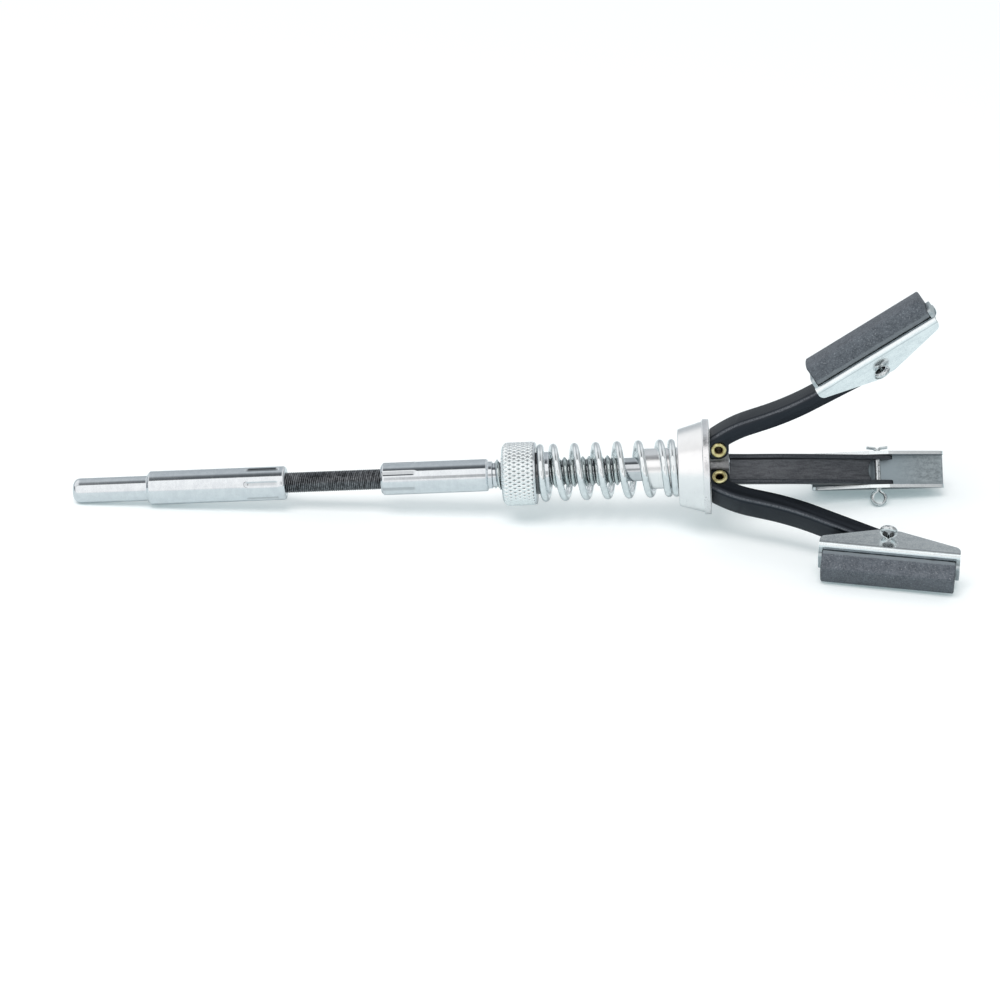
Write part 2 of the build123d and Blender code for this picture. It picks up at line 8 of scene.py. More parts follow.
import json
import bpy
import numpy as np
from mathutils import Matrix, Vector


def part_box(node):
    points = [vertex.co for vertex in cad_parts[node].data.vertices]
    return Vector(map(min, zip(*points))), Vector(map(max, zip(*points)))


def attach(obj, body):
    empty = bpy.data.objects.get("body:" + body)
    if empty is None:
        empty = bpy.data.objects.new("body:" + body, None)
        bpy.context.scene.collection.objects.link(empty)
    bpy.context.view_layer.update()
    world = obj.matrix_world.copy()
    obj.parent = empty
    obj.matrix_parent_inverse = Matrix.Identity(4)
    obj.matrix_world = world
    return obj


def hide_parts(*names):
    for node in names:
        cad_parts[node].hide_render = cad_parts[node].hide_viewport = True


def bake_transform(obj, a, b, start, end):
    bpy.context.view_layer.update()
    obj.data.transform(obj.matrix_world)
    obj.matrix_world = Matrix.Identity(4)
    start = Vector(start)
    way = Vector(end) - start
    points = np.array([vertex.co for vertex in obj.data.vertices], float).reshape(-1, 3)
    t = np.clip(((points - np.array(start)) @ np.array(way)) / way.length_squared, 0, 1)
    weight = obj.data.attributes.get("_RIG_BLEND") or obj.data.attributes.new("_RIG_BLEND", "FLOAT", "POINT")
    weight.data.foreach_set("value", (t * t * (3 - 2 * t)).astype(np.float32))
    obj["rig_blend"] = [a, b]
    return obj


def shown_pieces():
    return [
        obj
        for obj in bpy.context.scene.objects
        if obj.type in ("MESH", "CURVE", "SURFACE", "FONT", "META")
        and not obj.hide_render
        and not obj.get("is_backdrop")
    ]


bl_info = {
    "name": "Cylinder Hone",
    "version": (1, 0, 0),
    "blender": (4, 5, 0),
    "location": "View3D > Sidebar > Hone",
    "description": "Dresses a three-stone cylinder hone and sets it on a pale studio floor",
    "category": "Object",
}

from math import acos, atan2, ceil, cos, degrees, hypot, inf, pi, radians, sin, tan

import bmesh
import bpy
import numpy as np
from bpy.props import FloatProperty, FloatVectorProperty, IntProperty, PointerProperty
from mathutils import Matrix, Vector

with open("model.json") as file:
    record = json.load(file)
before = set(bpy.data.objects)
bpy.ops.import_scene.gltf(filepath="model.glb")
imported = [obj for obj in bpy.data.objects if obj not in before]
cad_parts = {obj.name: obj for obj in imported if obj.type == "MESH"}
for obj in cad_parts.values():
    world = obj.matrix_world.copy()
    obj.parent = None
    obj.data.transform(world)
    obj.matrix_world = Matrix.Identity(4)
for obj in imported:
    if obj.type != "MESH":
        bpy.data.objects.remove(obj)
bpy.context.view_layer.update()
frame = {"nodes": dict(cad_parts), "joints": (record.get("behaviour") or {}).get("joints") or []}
MM = 0.001

# Each arm's direction about the axis, and the side of it that carries the pin's eye
ARM_ANGLES = {"top": 90.0, "left": -30.0, "right": -150.0}
EYE_SIDES = {"top": 1, "left": -1, "right": -1}


def low_x(node):
    """Where a CAD node begins along the tool, in millimetres."""
    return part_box(node)[0].x / MM


def high_x(node):
    """Where a CAD node ends along the tool, in millimetres."""
    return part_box(node)[1].x / MM


def hinge(name):
    """A joint of the frame, by name."""
    return next(joint for joint in frame["joints"] if joint["name"] == name)


def axis_distance(place):
    """How far a point of the frame lies from the tool's axis, in millimetres."""
    return hypot(place[1], place[2]) / MM


# Places read from the frame, in millimetres
SHANK_TIP = low_x("drive_shank")
SLEEVE_END = high_x("drive_shank")
FRONT_SLEEVE = low_x("spindle")
SPINDLE_END = high_x("spindle")
NUT_START = low_x("adjusting_nut")
NUT_END = high_x("adjusting_nut")
SPRING_START = low_x("spring")
SPRING_END = high_x("spring")
CONE_START = low_x("pressure_cone")
CONE_END = high_x("pressure_cone")
HUB_START = low_x("hub")
HUB_END = high_x("hub")
FLEX_START = low_x("flex_shaft_winding")
FLEX_END = high_x("flex_shaft_winding")
PIVOT = hinge("top_arm_hinge")["pos_m"]
PIVOT_X = PIVOT[0] / MM
PIVOT_RADIUS = axis_distance(PIVOT)
PIN = hinge("top_shoe_hinge")["pos_m"]
PIN_X = PIN[0] / MM
PIN_RADIUS = axis_distance(PIN)

# What a mesh keeps for its finish: each point's place on its own piece, in millimetres; how much
# shade is painted in crimp grooves, gaps, a holder's channel and a pin's eye, and how much darker a
# holder's tabs are, the same mark giving the arms their duller grey inside the channel; and how
# bright the highlight is that is painted on a fold or edge
PLACE = "place_mm"
SHADE_AND_DULL = "recess"
EDGE_HIGHLIGHT = "rubbed_fold"

# Sizes that the frame doesn't give, in millimetres and degrees
SHANK_RADIUS = 2.6
REAR_SLEEVE_RADIUS = 3.5
FRONT_SLEEVE_RADIUS = 3.35
FRONT_SLEEVE_LENGTH = 22.2
SOCKET_RADIUS = 2.225
SOCKET_DEPTH = 10.2
DRILL_POINT = 1.3
REAR_GROOVE_DEPTH = 0.22
FRONT_GROOVE_DEPTH = 0.12
FLEX_RADIUS = 2.125
FLEX_CORE_RADIUS = 1.75
WIRE_SPACING = 0.445
WIRE_INSET = 0.3
NECK_RADIUS = 2.8
NECK_LENGTH = 0.9
THREAD_RADIUS = 3.15
THREAD_LENGTH = 27.45
SHAFT_RADIUS = 2.45
TAIL_RADIUS = 1.8
NUT_RADIUS = 6.55
NUT_LENGTH = 7.1
NUT_BORE = 3.22
NUT_BODY_RADIUS = 5.3
NUT_SPIGOT_RADIUS = 4.35
CONE_CLEARANCE = 0.08
CONE_SPIGOT_RADIUS = 4.2
CONE_FACE = 110.5
CONE_FACE_RADIUS = 7.9
CONE_RIM_START = 115.6
CONE_FOOT_RADIUS = 9.4
CONE_RIM_RADIUS = 9.825
SPREAD = 27.2
LOWER_TILT = 9.0
ARM_WIDTH = 6.2
ARM_SHEET = 0.9
RIVET_BORE = 0.7
RIVET_RADIUS = 1.2
RIVET_HEAD = 1.7
RIVET_LIP = 0.45
HOLDER_WIDTH = 7.8
HOLDER_SHEET = 0.7
HOLDER_RISE = 3.4
HOLDER_INSIDE = 2.7
HOLDER_REAR = 13.6
PIN_DEPTH = 1.6
PIN_GAP = 0.12
PIN_OVERLAP = 1.2
PIN_NECK = HOLDER_WIDTH / 2 + 0.15
EYE_WIDTH = 3.7
EYE_MIDDLE = HOLDER_WIDTH / 2 + 3.9 - EYE_WIDTH / 2
STOP_GAP = 0.1
SHARP_ANGLE = 35.0

# Winding of the spring, in turns and millimetres. Its front turns move with the cone and the
# others with the nut, and the place between them stands still.
CLOSED_PITCH = 1.56
REAR_CLOSED = 0.6
FRONT_CLOSED = 1.3
GROUND = 0.45
FRONT_TURNS = 1.9
STILL_PLACE = 105.5

# The top shoe hangs back until its rear end rests on its arm
STOP_REACH = hypot(HOLDER_INSIDE, HOLDER_REAR)
STOP_TURN = acos((PIN_DEPTH + STOP_GAP) / STOP_REACH) - atan2(HOLDER_REAR, HOLDER_INSIDE)
TOP_TILT = SPREAD + degrees(STOP_TURN)

# Colours that no setting gives
# Painted shade in the roots of the knurl and the screw thread
ZINC_ROOT_SHADE = (0.1, 0.115, 0.12)
# Painted shade in the crimp grooves, on the shaft inside the spring and in the gap behind the nut
DEEP_SHADE = (0.02, 0.022, 0.025)
KNURL_SHADE = (0.84, 0.88, 0.89)
KNURL_ZINC = (0.95, 0.985, 0.99)
THREAD_SHADE = (0.57, 0.62, 0.625)
THREAD_ZINC = (0.76, 0.81, 0.81)
SPRING_SHADE = (0.74, 0.785, 0.8)
SPRING_ZINC = (0.91, 0.94, 0.95)
CONE_SHADE = (0.92, 0.915, 0.92)
CONE_RIM = (0.62, 0.61, 0.65)
CONE_PITS = (0.36, 0.36, 0.37)
WIRE_SHADE = (0.078, 0.082, 0.088)
WIRE_BLACK = (0.145, 0.152, 0.162)
WIRE_WORN = (0.37, 0.385, 0.405)
# A highlight painted on the arms' folds and cut edges
ARM_FOLD_HIGHLIGHT = (0.15, 0.162, 0.18)
ARM_INSIDE_SHADE = (0.103, 0.11, 0.121)
ARM_INSIDE = (0.193, 0.202, 0.218)
RIVET_SHADE = (0.5, 0.43, 0.18)
# Painted shade in the rivets' bores
RIVET_BORE_SHADE = (0.1, 0.055, 0.02)
# Duller, mottled sheet inside the channel, darkened there by painted shade
SHEET_INSIDE_SHADE = (0.16, 0.187, 0.2)
SHEET_INSIDE = (0.35, 0.4, 0.425)
SHEET_INSIDE_REAR = (0.3, 0.355, 0.385)
# A line of shade painted along the crease
SHEET_CREASE_SHADE = (0.12, 0.14, 0.15)
# A highlight painted on the folds and cut edges
SHEET_EDGE_HIGHLIGHT = (0.92, 0.95, 0.96)
STONE_BLOTCH = (0.17, 0.19, 0.215)
STONE_GRAINS = (0.4, 0.42, 0.45)
STONE_BASE_PALE = (0.23, 0.26, 0.28)
STONE_BASE_LINE = (0.02, 0.024, 0.028)
HUB_SHADE = (0.2, 0.205, 0.21)
HUB_STEEL = (0.32, 0.325, 0.33)
PIN_SHADE = (0.36, 0.39, 0.4)
PIN_ZINC = (0.7, 0.735, 0.745)
# Painted shade inside the pins' eyes
PIN_EYE_SHADE = (0.03, 0.034, 0.036)
FLOOR_SEEN = (0.86, 0.82, 0.81)
FLOOR_GLOW = (0.7, 0.95, 1.0)

# Light round the tool that the metal mirrors, from the far side at 0 by way of the floor below,
# the camera's side at 0.5 and overhead at 0.75 back to the far side at 1
STUDIO_RING = (
    (0.0, (0.5, 0.55, 0.57)),
    (0.5, (0.82, 0.84, 0.86)),
    (0.52, (1.05, 1.05, 1.05)),
    (0.701, (1.12, 1.12, 1.12)),
    (0.711, (0.1, 0.11, 0.12)),
    (0.755, (0.125, 0.137, 0.146)),
    (0.782, (0.3, 0.32, 0.34)),
    (0.808, (0.56, 0.6, 0.63)),
    (1.0, (0.46, 0.5, 0.53)),
)
STUDIO_PALE = (1.03, 1.04, 1.045)
STUDIO_SOFT = (0.8, 0.81, 0.83)
STUDIO_FRONT = (0.1, 0.11, 0.12)
STUDIO_REAR = (0.3, 0.32, 0.34)
STUDIO_OPENING = (0.12, 0.13, 0.14)
STUDIO_DIFFUSE = (0.58, 0.586, 0.597)

# The camera, fitted to the photograph: its turn, lift and roll in degrees, and in millimetres its
# distance from a place on the axis, how far it is raised, that place, and the lens for 36 mm film
CAMERA_TURN = 4.166
CAMERA_LIFT = 24.891
CAMERA_ROLL = 2.174
CAMERA_DISTANCE = 668.25
CAMERA_RISE = -5.27
CAMERA_PLACE = 73.55
CAMERA_LENS = 116.18


class Socket:
    """One value in a node tree. Sums and products of values add Math nodes to the tree."""

    def __init__(self, graph, socket):
        self.graph = graph
        self.socket = socket

    def __add__(self, other):
        return self.graph.math("ADD", self, other)

    __radd__ = __add__

    def __sub__(self, other):
        return self.graph.math("SUBTRACT", self, other)

    def __rsub__(self, other):
        return self.graph.math("SUBTRACT", other, self)

    def __mul__(self, other):
        return self.graph.math("MULTIPLY", self, other)

    def __truediv__(self, other):
        return self.graph.math("DIVIDE", self, other)


class Graph:
    """A node tree of a material, of the world or of a modifier, built by calls."""

    def __init__(self, tree):
        self.tree = tree

    def node(self, kind, settings=None, inputs=None, output=0):
        """Adds a node: first its settings, then the values or links of its sockets."""
        node = self.tree.nodes.new(kind)
        for key, value in (settings or {}).items():
            if key == "stops":
                self.set_stops(node.color_ramp, value)
            else:
                setattr(node, key, value)
        for key, value in (inputs or {}).items():
            self.feed(node.inputs[key], value)
        return Socket(self, node.outputs[output])

    def feed(self, target, value):
        """Links a value to a socket, or sets it there."""
        if isinstance(value, Socket):
            self.tree.links.new(value.socket, target)
        elif target.type == "RGBA":
            target.default_value = (*value, 1.0)
        else:
            target.default_value = value

    @staticmethod
    def set_stops(ramp, stops):
        """Gives a colour ramp its stops, each a place and a colour."""
        while len(ramp.elements) < len(stops):
            ramp.elements.new(1.0)
        for element, (place, colour) in zip(ramp.elements, stops):
            element.position = place
            element.color = (*colour, 1.0)

    def math(self, operation, a, b=0.0, c=0.0, clamp=False):
        """A Math node."""
        settings = {"operation": operation, "use_clamp": clamp}
        return self.node("ShaderNodeMath", settings, {0: a, 1: b, 2: c})

    def split(self, vector):
        """The three numbers of a vector."""
        outputs = self.node("ShaderNodeSeparateXYZ", inputs={0: vector}).socket.node.outputs
        return [Socket(self, outputs[index]) for index in range(3)]

    def combine(self, x, y, z):
        """A vector of three numbers."""
        return self.node("ShaderNodeCombineXYZ", inputs={0: x, 1: y, 2: z})

    def noise(self, place, scale, detail, roughness):
        """A value near 0.5 that changes over distances of about one over the scale."""
        inputs = {"Vector": place, "Scale": scale, "Detail": detail, "Roughness": roughness}
        return self.node("ShaderNodeTexNoise", inputs=inputs)

    def band(self, value, low, high):
        """0 below one value, 1 above another, and smooth between them."""
        return self.node(
            "ShaderNodeMapRange",
            {"interpolation_type": "SMOOTHSTEP"},
            {"Value": value, "From Min": low, "From Max": high},
        )

    def mix(self, factor, first, second):
        """A colour between two colours."""
        node = self.tree.nodes.new("ShaderNodeMix")
        node.data_type = "RGBA"
        self.feed(node.inputs[0], factor)
        self.feed(node.inputs[6], first)
        self.feed(node.inputs[7], second)
        return Socket(self, node.outputs[2])


class Finish(Graph):
    """A material's tree, with its surface shader in place."""

    def __init__(self, name):
        self.material = bpy.data.materials.new(name)
        self.material.use_nodes = True
        super().__init__(self.material.node_tree)
        self.shader = self.tree.nodes["Principled BSDF"]

    def place(self):
        """Where a point lies on its own piece, in millimetres: along it, across it and out."""
        return self.node("ShaderNodeAttribute", {"attribute_name": PLACE}, output=1)

    def mark(self, name):
        """A number kept on the piece's points or faces."""
        return self.node("ShaderNodeAttribute", {"attribute_name": name}, output=2)

    def surface(self, **values):
        """Sets or links the shader's sockets, named with underscores for spaces."""
        for key, value in values.items():
            self.feed(self.shader.inputs[key.replace("_", " ")], value)

    def bump(self, height):
        """A normal that follows a height in millimetres."""
        return self.node("ShaderNodeBump", inputs={"Height": height, "Distance": MM})

    def metal(self, colour, rough, relief):
        """Ends a metal's tree, and gives its material."""
        self.surface(Base_Color=colour, Metallic=1.0, Roughness=rough, Normal=self.bump(relief))
        return self.material


def finish_once(maker):
    """The material that a maker makes, made once and kept by its name."""
    name = maker.__name__
    return bpy.data.materials.get(name) or maker(name)


def zinc_plate(name, rough, shade, colour, root_shade=None):
    """Bright zinc plate: a mirror with fine turning rings, faint stains and small specks.

    Where root shade is given, shade is painted in the roots of a relief: the radius it fills up to,
    the radius where it ends and the place along the tool where it starts. Where the points are marked,
    shade is painted as well.
    """
    finish = Finish(name)
    place = finish.place()
    x, y, z = finish.split(place)
    rings = finish.noise(finish.combine(x * 9.0, y * 0.15, z * 0.15), 1.0, 4.0, 0.7)
    stains = finish.noise(place, 0.7, 5.0, 0.65)
    specks = finish.noise(place, 6.0, 2.0, 0.5)
    tone = finish.band(stains * 0.55 + rings * 0.2 + specks * 0.25, 0.34, 0.66)
    base = finish.mix(tone, shade, colour)
    # Shade painted in the roots of the relief
    if root_shade:
        radius = finish.math("SQRT", y * y + z * z)
        low, high, start = root_shade
        shaded_root = (1.0 - finish.band(radius, low, high)) * finish.band(x, start, start + 0.3)
        base = finish.mix(shaded_root * 0.85, base, ZINC_ROOT_SHADE)
    # Shade painted darker where the points are marked
    return finish.metal(
        colour=finish.mix(finish.mark(SHADE_AND_DULL), base, DEEP_SHADE),
        rough=rough + rings * 0.04 + finish.band(stains, 0.5, 0.75) * 0.08,
        relief=rings * 0.0015 + specks * 0.0015,
    )


def bright_zinc(name):
    """Zinc plate of the turned pieces."""
    settings = bpy.context.scene.hone_metal
    return zinc_plate(name, 0.05, settings.zinc_shade, settings.zinc_colour)


def knurled_zinc(name):
    """Zinc plate of the knurl, with shade painted in its pits."""
    depth = bpy.context.scene.hone_metal.knurl_depth / MM
    root_shade = (NUT_RADIUS - depth * 0.95, NUT_RADIUS - depth * 0.55, NUT_START + 0.9)
    return zinc_plate(name, 0.2, KNURL_SHADE, KNURL_ZINC, root_shade)


def thread_zinc(name):
    """Zinc plate of the screw thread, with shade painted in its roots."""
    depth = bpy.context.scene.hone_metal.thread_height / MM
    root_shade = (THREAD_RADIUS - depth * 0.95, THREAD_RADIUS - depth * 0.25, 0.0)
    return zinc_plate(name, 0.16, THREAD_SHADE, THREAD_ZINC, root_shade)


def spring_wire(name):
    """Spring wire with zinc plate: a bright mirror with small dull specks."""
    return zinc_plate(name, 0.04, SPRING_SHADE, SPRING_ZINC)


def turned_cone(name):
    """Light turned metal with cut rings, its rim a little duller and lightly pitted."""
    finish = Finish(name)
    place = finish.place()
    x, y, z = finish.split(place)
    rings = finish.noise(finish.combine(x * 6.0, y * 0.1, z * 0.1), 1.0, 4.0, 0.7)
    stains = finish.noise(place, 0.35, 4.0, 0.55)
    pits = finish.band(finish.noise(place, 3.2, 3.0, 0.6), 0.6, 0.72)
    rim = finish.band(x, CONE_RIM_START - 0.1, CONE_RIM_START + 0.1)
    tone = finish.band(stains * 0.7 + rings * 0.3, 0.3, 0.6)
    base = finish.mix(tone, CONE_SHADE, bpy.context.scene.hone_metal.cone_colour)
    base = finish.mix(rim * 0.2, base, CONE_RIM)
    return finish.metal(
        colour=finish.mix(pits * rim * 0.5, base, CONE_PITS),
        rough=0.22 + rings * 0.08 + pits * rim * 0.2,
        relief=rings * 0.004 - pits * rim * 0.03,
    )


def black_wire(name):
    """Black oiled wire: each turn a little lighter or darker than the next."""
    finish = Finish(name)
    place = finish.place()
    x, y, z = finish.split(place)
    strands = finish.noise(finish.combine(x * 2.4, y * 0.4, z * 0.4), 1.0, 2.0, 0.6)
    wear = finish.band(finish.noise(place, 2.2, 3.0, 0.6), 0.45, 0.65)
    base = finish.mix(finish.band(strands, 0.35, 0.65), WIRE_SHADE, WIRE_BLACK)
    return finish.metal(
        colour=finish.mix(wear * 0.45, base, WIRE_WORN),
        rough=0.2 + strands * 0.15,
        relief=strands * 0.01,
    )


def black_oxide(name):
    """Black oxide on pressed steel: satin and bluish outside, a duller grey inside the channel, and a
    highlight painted along its folds and cut edges.
    """
    finish = Finish(name)
    place = finish.place()
    x, y, z = finish.split(place)
    grain = finish.noise(place, 4.5, 3.0, 0.6)
    streaks = finish.noise(finish.combine(x * 0.3, y * 2.2, z * 2.2), 1.0, 4.0, 0.6)
    rubbed = finish.band(streaks * 0.6 + grain * 0.4, 0.5, 0.7)
    settings = bpy.context.scene.hone_arms
    # A highlight painted along the folds and cut edges, broken up by the grain
    fold_highlight = finish.mark(EDGE_HIGHLIGHT) * (0.35 + finish.band(grain, 0.35, 0.6) * 0.65)
    outer = finish.mix(rubbed * 0.45, settings.arm_colour, settings.rubbed_colour)
    outer = finish.mix(fold_highlight, outer, ARM_FOLD_HIGHLIGHT)
    inside = finish.mark(SHADE_AND_DULL)
    light = finish.band(streaks * 0.5 + grain * 0.5, 0.36, 0.64)
    inner = finish.mix(light, ARM_INSIDE_SHADE, ARM_INSIDE)
    return finish.metal(
        colour=finish.mix(inside, outer, inner),
        rough=0.24 + grain * 0.1 + inside * 0.14,
        relief=grain * 0.006 + streaks * 0.004,
    )


def yellow_zinc(name):
    """Yellow zinc plate on the hollow rivets, greener and darker in places, with shade painted in the bore.
    """
    finish = Finish(name)
    place = finish.place()
    x, _, out = finish.split(place)
    patches = finish.noise(place, 0.8, 2.0, 0.5)
    tone = finish.band(patches, 0.3, 0.65)
    radius = finish.math("SQRT", x * x + out * out)
    # Shade painted round the bore
    bore = 1.0 - finish.band(radius, RIVET_BORE + 0.02, RIVET_BORE + 0.25)
    plate = finish.mix(tone, RIVET_SHADE, bpy.context.scene.hone_arms.rivet_colour)
    return finish.metal(
        colour=finish.mix(bore * 0.9, plate, RIVET_BORE_SHADE),
        rough=0.22 + patches * 0.1,
        relief=patches * 0.003,
    )


def pressed_sheet(name):
    """Zinc-plated sheet: bright and bluish outside, with a line of shade painted along the crease and a
    highlight painted on its folds and cut edges; duller and mottled inside the channel, darkened
    there by painted shade.
    """
    finish = Finish(name)
    place = finish.place()
    x, y, z = finish.split(place)
    mottle = finish.noise(place, 1.1, 5.0, 0.7)
    streaks = finish.noise(finish.combine(x * 0.3, y * 1.6, z * 1.6), 1.0, 4.0, 0.6)
    grain = finish.noise(place, 5.0, 3.0, 0.7)
    tone = finish.band(mottle * 0.25 + streaks * 0.35 + grain * 0.4, 0.34, 0.62)
    settings = bpy.context.scene.hone_shoes
    # Shade painted inside the channel, and a darker tone on the tabs
    inside = finish.mark(SHADE_AND_DULL)
    patch = finish.band(mottle * 0.4 + streaks * 0.25 + grain * 0.35, 0.36, 0.62)
    dull = finish.mix(patch, SHEET_INSIDE_SHADE, SHEET_INSIDE)
    dull = finish.mix(finish.band(x, 2.0, 12.0), SHEET_INSIDE_REAR, dull)
    # A line of shade painted along the crease
    crease_shade = finish.band(z, 2.15, 2.3) * (1.0 - finish.band(z, 2.38, 2.5))
    outer = finish.mix(tone, settings.sheet_shade, settings.sheet_colour)
    outer = finish.mix(crease_shade * 0.3, outer, SHEET_CREASE_SHADE)
    # A highlight painted on the folds and cut edges
    outer = finish.mix(finish.mark(EDGE_HIGHLIGHT) * 0.8, outer, SHEET_EDGE_HIGHLIGHT)
    return finish.metal(
        colour=finish.mix(inside, outer, dull),
        rough=0.14 + mottle * 0.12 + grain * 0.04 + inside * 0.16,
        relief=mottle * 0.008 + streaks * 0.003 + grain * 0.002,
    )


def grey_stone(name):
    """Fine bluish abrasive: open grain, a paler band near its base and a dark line at its foot."""
    finish = Finish(name)
    place = finish.place()
    out = finish.split(place)[2]
    grit = finish.node("ShaderNodeTexVoronoi", {"feature": "F1"}, {"Vector": place, "Scale": 4.5})
    grain = finish.noise(place, 5.0, 4.0, 0.7)
    cloud = finish.noise(place, 0.45, 4.0, 0.6)
    tone = finish.band(grain * 0.65 + cloud * 0.35, 0.36, 0.64)
    settings = bpy.context.scene.hone_shoes
    body = finish.mix(tone, settings.stone_shade, settings.stone_colour)
    blotch = finish.band(finish.noise(place, 2.1, 2.0, 0.6), 0.36, 0.66)
    body = finish.mix(blotch * 0.4, body, STONE_BLOTCH)
    bright = finish.band(finish.noise(place, 4.2, 1.0, 0.5), 0.64, 0.76)
    body = finish.mix(bright * 0.5, body, STONE_GRAINS)
    wander = finish.noise(place, 0.6, 2.0, 0.5) - 0.5
    level = out + wander * 0.4 - HOLDER_RISE
    pale_base = 1.0 - finish.band(level, 0.75, 1.15)
    body = finish.mix(pale_base * 0.7, body, STONE_BASE_PALE)
    line = 1.0 - finish.band(level, 0.12, 0.24)
    finish.surface(
        Base_Color=finish.mix(line * 0.85, body, STONE_BASE_LINE),
        Metallic=0.0,
        Roughness=0.6,
        Normal=finish.bump(grain * 0.05 + grit * 0.03),
    )
    return finish.material


def hub_steel(name):
    """Plain grey pressed steel, dulled in patches by an oily film."""
    finish = Finish(name)
    place = finish.place()
    mottle = finish.noise(place, 1.4, 4.0, 0.6)
    tone = finish.band(mottle, 0.38, 0.62)
    return finish.metal(
        colour=finish.mix(tone, HUB_SHADE, HUB_STEEL),
        rough=0.3 + mottle * 0.16,
        relief=mottle * 0.015,
    )


def pin_finish(name):
    """Zinc-plated wire of the cotter pins, dull in patches, with shade painted inside the eye."""
    finish = Finish(name)
    place = finish.place()
    patches = finish.noise(place, 1.8, 4.0, 0.6)
    tone = finish.band(patches, 0.34, 0.5)
    base = finish.mix(tone, PIN_SHADE, PIN_ZINC)
    # Shade painted on the marked inner side of the eye
    return finish.metal(
        colour=finish.mix(finish.mark(SHADE_AND_DULL), base, PIN_EYE_SHADE),
        rough=0.16 + patches * 0.08,
        relief=patches * 0.003,
    )


def floor_finish(name):
    """Plain pale floor: almost white to the camera, with the tool's soft shadow left on it."""
    finish = Finish(name)
    colour = bpy.context.scene.hone_stage.floor_colour
    finish.surface(Base_Color=colour, Roughness=0.9, Specular_IOR_Level=0.0)
    paper = finish.node("ShaderNodeBsdfDiffuse", inputs={"Color": FLOOR_SEEN})
    glow = finish.node("ShaderNodeEmission", inputs={"Color": FLOOR_GLOW, "Strength": 0.285})
    seen_floor = finish.node("ShaderNodeAddShader", inputs={0: paper, 1: glow})
    camera_ray = finish.node("ShaderNodeLightPath")
    mixed = finish.node(
        "ShaderNodeMixShader",
        inputs={0: camera_ray, 1: Socket(finish, finish.shader.outputs[0]), 2: seen_floor},
    )
    output = finish.tree.nodes["Material Output"]
    finish.tree.links.new(mixed.socket, output.inputs["Surface"])
    return finish.material


# Mesh making


def link(name, mesh):
    """A new object at the origin, whose place is in its mesh."""
    piece = bpy.data.objects.new(name, mesh)
    bpy.context.scene.collection.objects.link(piece)
    return piece


def smooth(mesh, sharp_angle=SHARP_ANGLE):
    """Shades a mesh smooth, apart from edges sharper than an angle in degrees."""
    mesh.polygons.foreach_set("use_smooth", [True] * len(mesh.polygons))
    mesh.set_sharp_from_angle(angle=radians(sharp_angle))
    mesh.update()


def set_places(mesh, place_of=None):
    """Writes each point's place on its own piece, in millimetres, for the patterns."""
    points = np.empty(len(mesh.vertices) * 3)
    mesh.vertices.foreach_get("co", points)
    points = points.reshape(-1, 3) / MM
    if place_of is not None:
        points = place_of(points)
    attribute = mesh.attributes.get(PLACE) or mesh.attributes.new(PLACE, "FLOAT_VECTOR", "POINT")
    attribute.data.foreach_set("vector", points.astype(np.float32).ravel())


def solid(name, points, faces, sharp_angle=SHARP_ANGLE, place_of=None):
    """A closed mesh from points in millimetres, with its faces turned outward."""
    mesh = bpy.data.meshes.new(name)
    mesh.from_pydata([tuple(MM * value for value in point) for point in points], [], faces)
    work = bmesh.new()
    work.from_mesh(mesh)
    bmesh.ops.remove_doubles(work, verts=work.verts, dist=1e-7)
    bmesh.ops.recalc_face_normals(work, faces=work.faces)
    work.to_mesh(mesh)
    work.free()
    smooth(mesh, sharp_angle)
    set_places(mesh, place_of)
    return link(name, mesh)


def ring_faces(rings, segments, closed):
    """Quads between neighbouring rings of points."""
    faces = []
    for ring in range(rings if closed else rings - 1):
        following = (ring + 1) % rings
        for step in range(segments):
            after = (step + 1) % segments
            faces.append(
                (
                    ring * segments + step,
                    ring * segments + after,
                    following * segments + after,
                    following * segments + step,
                )
            )
    return faces


def turned(name, profile, segments, closed=False, radius_at=None):
    """Turns a profile of (along, radius) points about the tool's axis.

    A rule of along, angle and radius, where it is given, sets each point's own radius.
    """
    points = []
    for along, radius in profile:
        for step in range(segments):
            angle = 2 * pi * step / segments
            reach = radius if radius_at is None else radius_at(along, angle, radius)
            points.append((along, reach * cos(angle), reach * sin(angle)))
    return solid(name, points, ring_faces(len(profile), segments, closed))


def rounded_profile(corners, steps=4):
    """A profile whose corners, given as (along, radius, round), are rounded."""
    profile = []
    for index, (along, radius, bend) in enumerate(corners):
        here = Vector((along, radius))
        if bend <= 0 or index in (0, len(corners) - 1):
            profile.append((along, radius))
            continue
        before = (Vector(corners[index - 1][:2]) - here).normalized()
        after = (Vector(corners[index + 1][:2]) - here).normalized()
        half = before.angle(after) / 2
        reach = bend / tan(half)
        start, end = here + before * reach, here + after * reach
        middle = here + (before + after).normalized() * (bend / sin(half))
        from_angle = atan2(start.y - middle.y, start.x - middle.x)
        turn = atan2(end.y - middle.y, end.x - middle.x) - from_angle
        turn = (turn + pi) % (2 * pi) - pi
        for step in range(steps + 1):
            angle = from_angle + turn * step / steps
            profile.append((middle.x + bend * cos(angle), middle.y + bend * sin(angle)))
    return profile


def divided(profile, spacing):
    """The same profile with points no farther apart along the axis than a spacing."""
    result = [profile[0]]
    for (x0, r0), (x1, r1) in zip(profile, profile[1:]):
        count = max(1, ceil(abs(x1 - x0) / spacing))
        for step in range(1, count + 1):
            part = step / count
            result.append((x0 + (x1 - x0) * part, r0 + (r1 - r0) * part))
    return result


